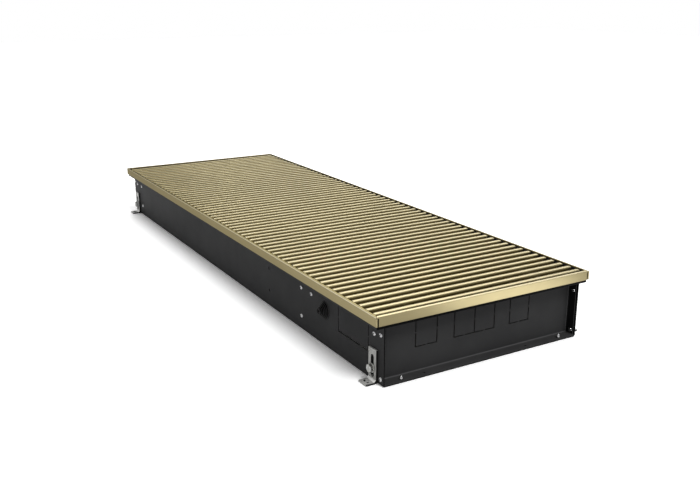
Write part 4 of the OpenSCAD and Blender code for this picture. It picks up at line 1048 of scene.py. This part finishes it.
def boltShape():
    foot, top = boltSet["threadEnds"]
    profile = [(0, -boltSet["shank"]), (boltSet["point"], -boltSet["shank"])]
    level = -boltSet["shank"] + foot
    while level < top:
        profile += [(boltSet["thread"] - boltSet["threadDepth"], level)]
        profile += [(boltSet["thread"], level + boltSet["pitch"] / 2)]
        level += boltSet["pitch"]
    profile += [(boltSet["thread"], -0.05)] + boltSet["head"]
    facts = {"profile": profile, "segments": boltSet["segments"], "flats": boltSet["flats"]}
    return turned("boltShape", facts, angle=28)


def footPlaces(across):
    return fourPlaces(across, boltSet["along"], boltSet["height"], lambda side, end: (side, 0, 0))


places = footPlaces(boltSet["under"])
turn, seed = boltSet["turn"], boltSet["seed"]
bolts = studs("foot.bolts", "foot_clamp_bolts", boltShape(), places, turn, seed)
dress(bolts, "foot_clamp_bolts")
places = footPlaces(boltSet["under"] - washerThickness)
washerShape = turned("washerShape", washerSet)
dress(studs("foot.washers", "foot_washers", washerShape, places), "foot_washers")
print("rivets and bolts ready")

# Cable grommet: a stepped cone with rounded ribs and a thin pierced skin in its tip
grommetSet = {
    "at": (-125, -283.5, 41),
    "back": [  # behind the wall and through it
        (9.6, -3.4), (10, -3), (10, -1.35), (9.7, -1.02), (7.9, -1), (7.9, 0), (9.75, 0),
    ],
    "deep": -3.2, "base": 10, "step": 1.28, "rise": 1.25, "steps": 6,
    "rib": 0.3, "ribSide": 0.2, "groove": 1.1, "bore": 2.6, "slit": 1.1, "segments": 56,
}


def grommetProfile():
    bore, slit, deep = grommetSet["bore"], grommetSet["slit"], grommetSet["deep"]
    rib, groove = grommetSet["rib"], grommetSet["groove"]
    points = [(bore, deep), (bore + 0.2, deep - 0.2)] + grommetSet["back"]
    for i in range(grommetSet["steps"]):
        radius = grommetSet["base"] - i * grommetSet["step"]
        foot, top = i * grommetSet["rise"], (i + 1) * grommetSet["rise"]
        if i:
            points += [(radius - groove, foot), (radius - groove, foot + 0.4)]
        points += [(radius - 0.1, foot + 0.5), (radius, foot + 0.62), (radius, top - rib)]
        points += [(radius - 0.12, top - rib / 3), (radius - rib, top)]
    points += [(bore + 0.3, top), (bore, top - 0.2), (slit + 0.4, top - 0.45), (slit, top - 0.6)]
    return points + [(slit, top - 0.8), (bore, top - 0.9), (bore, deep)]


def grooveShade(face):
    # painted shade in the grooves and on the steps' flat fronts, so that only the ribs catch light
    x, y, z = (face.center / mm - Vector(grommetSet["at"]))[:]
    ring = grommetSet["base"] - grommetSet["step"] * math.floor(-x / grommetSet["rise"])
    deep = math.hypot(y, z) < ring - grommetSet["ribSide"]
    return -x > 0 and (deep or face.normal.x < -0.5)


grommet = turned("cable.grommet", {
    "profile": grommetProfile(), "at": grommetSet["at"], "axis": (-1, 0, 0),
    "segments": grommetSet["segments"],
}, angle=45)
paintShade(grommet.data, grooveShade)
dress(grommet, "cable_grommet")

# Brass unions: threaded sockets and the collars soldered on the upper tubes
unionSet = {
    "tubes": (6.2, 52.8), "height": 43, "flats": 26, "front": -317, "segments": 72,
    "corners": [(12.3, 0), (12.9, 0.3), (13.6, 0.65), (14.3, 1.0), (15.05, 1.4)],
    "socket": 14, "collarFront": -302.95, "collar": 9.95, "tube": 7.55, "tubeBore": 6.7,
    "seat": 1.95,  # depth to which the collar holds the tube's end
    "thread": 9.3, "threadDepth": 0.6, "threadEnd": 1.6, "pitch": 1.8,
}


def socketProfile():
    length, thread = unionSet["socket"], unionSet["thread"]
    points = [(10.4, 0)] + unionSet["corners"] + [(15.05, length - 0.25), (14.8, length)]
    points += [(thread, length)]
    level = length - 0.6
    while level > unionSet["threadEnd"]:
        points += [(thread, level)]
        points += [(thread + unionSet["threadDepth"], level - unionSet["pitch"] / 2)]
        level -= unionSet["pitch"]
    return points + [(thread, level), (9.9, 0.5), (10.4, 0)]


def collarProfile():
    length, tube = unionSet["collar"], unionSet["tube"]
    bore, seat = unionSet["tubeBore"], unionSet["seat"]
    points = [(bore, 0), (14.8, 0), (15.05, 0.25)]
    points += [(radius, length - height) for radius, height in unionSet["corners"][::-1]]
    points += [(tube + 0.35, length), (tube, length - 0.3)]
    return points + [(tube, seat), (bore, seat), (bore, 0)]


def unionAt(x, y, profile):
    return {
        "profile": profile, "at": (x, y, unionSet["height"]), "axis": (0, 1, 0),
        "segments": unionSet["segments"], "flats": unionSet["flats"],
    }


for node, x in zip(("return_fitting", "supply_fitting"), unionSet["tubes"]):
    facts = unionAt(x, unionSet["front"], socketProfile())
    dress(turned(node.replace("_", "."), facts, angle=24), node)
collars = [unionAt(x, unionSet["collarFront"], collarProfile()) for x in unionSet["tubes"]]
dress(turned("tube.collars", *collars, angle=24), "tube_collars")

# Fins: thin plates with a drawn collar round each tube
finSet = {
    "count": 97, "thickness": 0.5, "corner": 2, "rows": (19, 43),
    "hole": 7.55, "sides": 18, "collar": 1.7, "collarWall": 0.25, "flare": (0.6, 0.3),
}


def finShape(low, high):
    work = bmesh.new()
    left, right, foot, top = low.x / mm, high.x / mm, low.z / mm, high.z / mm
    cut, half = finSet["corner"], finSet["thickness"] / 2
    hole, sides = finSet["hole"], finSet["sides"]
    tubes = [(x, z) for x in unionSet["tubes"] for z in finSet["rows"]]
    loops = [[
        (left + cut, foot), (right - cut, foot), (right, foot + cut), (right, top - cut),
        (right - cut, top), (left + cut, top), (left, top - cut), (left, foot + cut),
    ]]
    ways = [2 * math.pi * i / sides for i in range(sides)]
    for x, z in tubes:
        loops.append([(x + hole * math.cos(way), z + hole * math.sin(way)) for way in ways])
    for loop in loops:
        ring = [work.verts.new((x * mm, -half * mm, z * mm)) for x, z in loop]
        for pair in zip(ring, ring[1:] + ring[:1]):
            work.edges.new(pair)
    bmesh.ops.triangle_fill(work, use_beauty=True, edges=work.edges)
    plate = bmesh.ops.extrude_face_region(work, geom=work.faces[:], use_keep_orig=True)
    rims = [item for item in plate["geom"] if isinstance(item, bmesh.types.BMVert)]
    bmesh.ops.translate(work, verts=rims, vec=(0, 2 * half * mm, 0))
    bmesh.ops.recalc_face_normals(work, faces=work.faces)
    outside, end = hole + finSet["collarWall"], half + finSet["collar"]
    flare, lift = finSet["flare"]
    profile = [
        (hole, half), (hole + flare, half), (outside, half + lift), (outside, end),
        (hole, end), (hole, half),
    ]
    for x, z in tubes:
        turnInto(work, profile, (x, 0, z), (0, 1, 0), sides)
    return fromWork("finShape", work)


low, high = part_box("fin_pack")
thickness = finSet["thickness"] * mm
finPitch = (high.y - low.y - thickness) / (finSet["count"] - 1)
shape = finShape(low, high)
fins = grow("heat.fins", rowTree, {
    "Shape": shape,
    "First": (0, low.y + thickness / 2, 0),
    "Step": (0, finPitch, 0),
    "Count": finSet["count"],
    "Finish": materials["fin_aluminium"],
})
bpy.data.objects.remove(shape)
dress(fins, "fin_pack")
print("heat exchanger ready")

# Impeller: curved blades between discs, with a hub at each end
wheelSet = {
    "blades": 24, "stretches": 8, "radius": 20, "depth": 6, "inset": 0.6,
    "camber": 34, "lean": 14, "bladeSteps": 6, "root": 0.8, "tip": 0.5, "skew": 1.9,
    "edgeThin": 0.55,  # share of the thickness at a blade's edges
    "disc": 1.2, "ringPast": 2, "corner": 0.25, "hub": 7, "hubLength": 10, "hubCorner": 0.4,
    "bore": 3.02, "segments": 48,
}


def bladeShape(length):
    work = bmesh.new()
    sides = ([], [])
    steps = wheelSet["bladeSteps"]
    for i in range(steps + 1):
        s = i / steps
        lean = math.radians(wheelSet["camber"] * s * (1 - s) + wheelSet["lean"] * s)
        reach = wheelSet["radius"] - wheelSet["inset"] - wheelSet["depth"] * (1 - s)
        half = (wheelSet["root"] * (1 - s) + wheelSet["tip"] * s) / 2
        if i in (0, steps):
            half *= wheelSet["edgeThin"]
        for side, points in zip(bothSides, sides):
            x = reach * math.cos(lean) - side * half * math.sin(lean)
            z = reach * math.sin(lean) + side * half * math.cos(lean)
            points.append((x * mm, z * mm))
    section = sides[0] + sides[1][::-1]
    rings = [[work.verts.new((x, y, z)) for x, z in section] for y in (0, length * mm)]
    for i in range(len(section)):
        k = (i + 1) % len(section)
        work.faces.new((rings[0][i], rings[0][k], rings[1][k], rings[1][i]))
    for ring in rings:
        work.faces.new(ring)
    bmesh.ops.recalc_face_normals(work, faces=work.faces)
    return fromWork("bladeShape", work)


def wheelDiscs(front, step):
    outer, disc, bore = wheelSet["radius"], wheelSet["disc"], wheelSet["bore"]
    inner = outer - wheelSet["depth"] - wheelSet["ringPast"]
    hub, length = wheelSet["hub"], wheelSet["hubLength"]
    edge, hubEdge = wheelSet["corner"], wheelSet["hubCorner"]
    rim = [(outer - edge, 0), (outer, edge), (outer, disc - edge), (outer - edge, disc)]
    endDisc = [(bore, 0)] + rim + [(hub + 1, disc), (hub, disc + 0.8), (hub, length - hubEdge)]
    endDisc += [(hub - hubEdge, length), (bore, length), (bore, 0)]
    ring = [(inner, 0)] + rim + [(inner, disc), (inner, 0)]
    parts = []
    last = wheelSet["stretches"]
    for i in range(last + 1):
        y, way = (front + i * step + disc, -1) if i == last else (front + i * step, 1)
        place = (wheelCentre.x / mm, y, wheelCentre.z / mm)
        facts = {"profile": endDisc if i in (0, last) else ring, "at": place}
        parts.append({**facts, "axis": (0, way, 0), "segments": wheelSet["segments"]})
    return turned("wheelDiscs", *parts)


low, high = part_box("impeller_wheel")
wheelCentre = (low + high) / 2
wheelFront = low.y / mm
step = (high.y / mm - wheelFront - wheelSet["disc"]) / wheelSet["stretches"]
shape = bladeShape(step - wheelSet["disc"])
blades = grow("blades", wheelTree, {
    "Shape": shape,
    "Centre": (wheelCentre.x, low.y + wheelSet["disc"] * mm, wheelCentre.z),
    "Blades": wheelSet["blades"],
    "Stretches": wheelSet["stretches"],
    "Step": step * mm,
    "Skew": math.radians(wheelSet["skew"]),
    "Finish": materials["impeller_plastic"],
})
bpy.data.objects.remove(shape)
wheel = joined("impeller.wheel", [blades, wheelDiscs(wheelFront, step)])
dress(wheel, "impeller_wheel")
print("impeller ready")
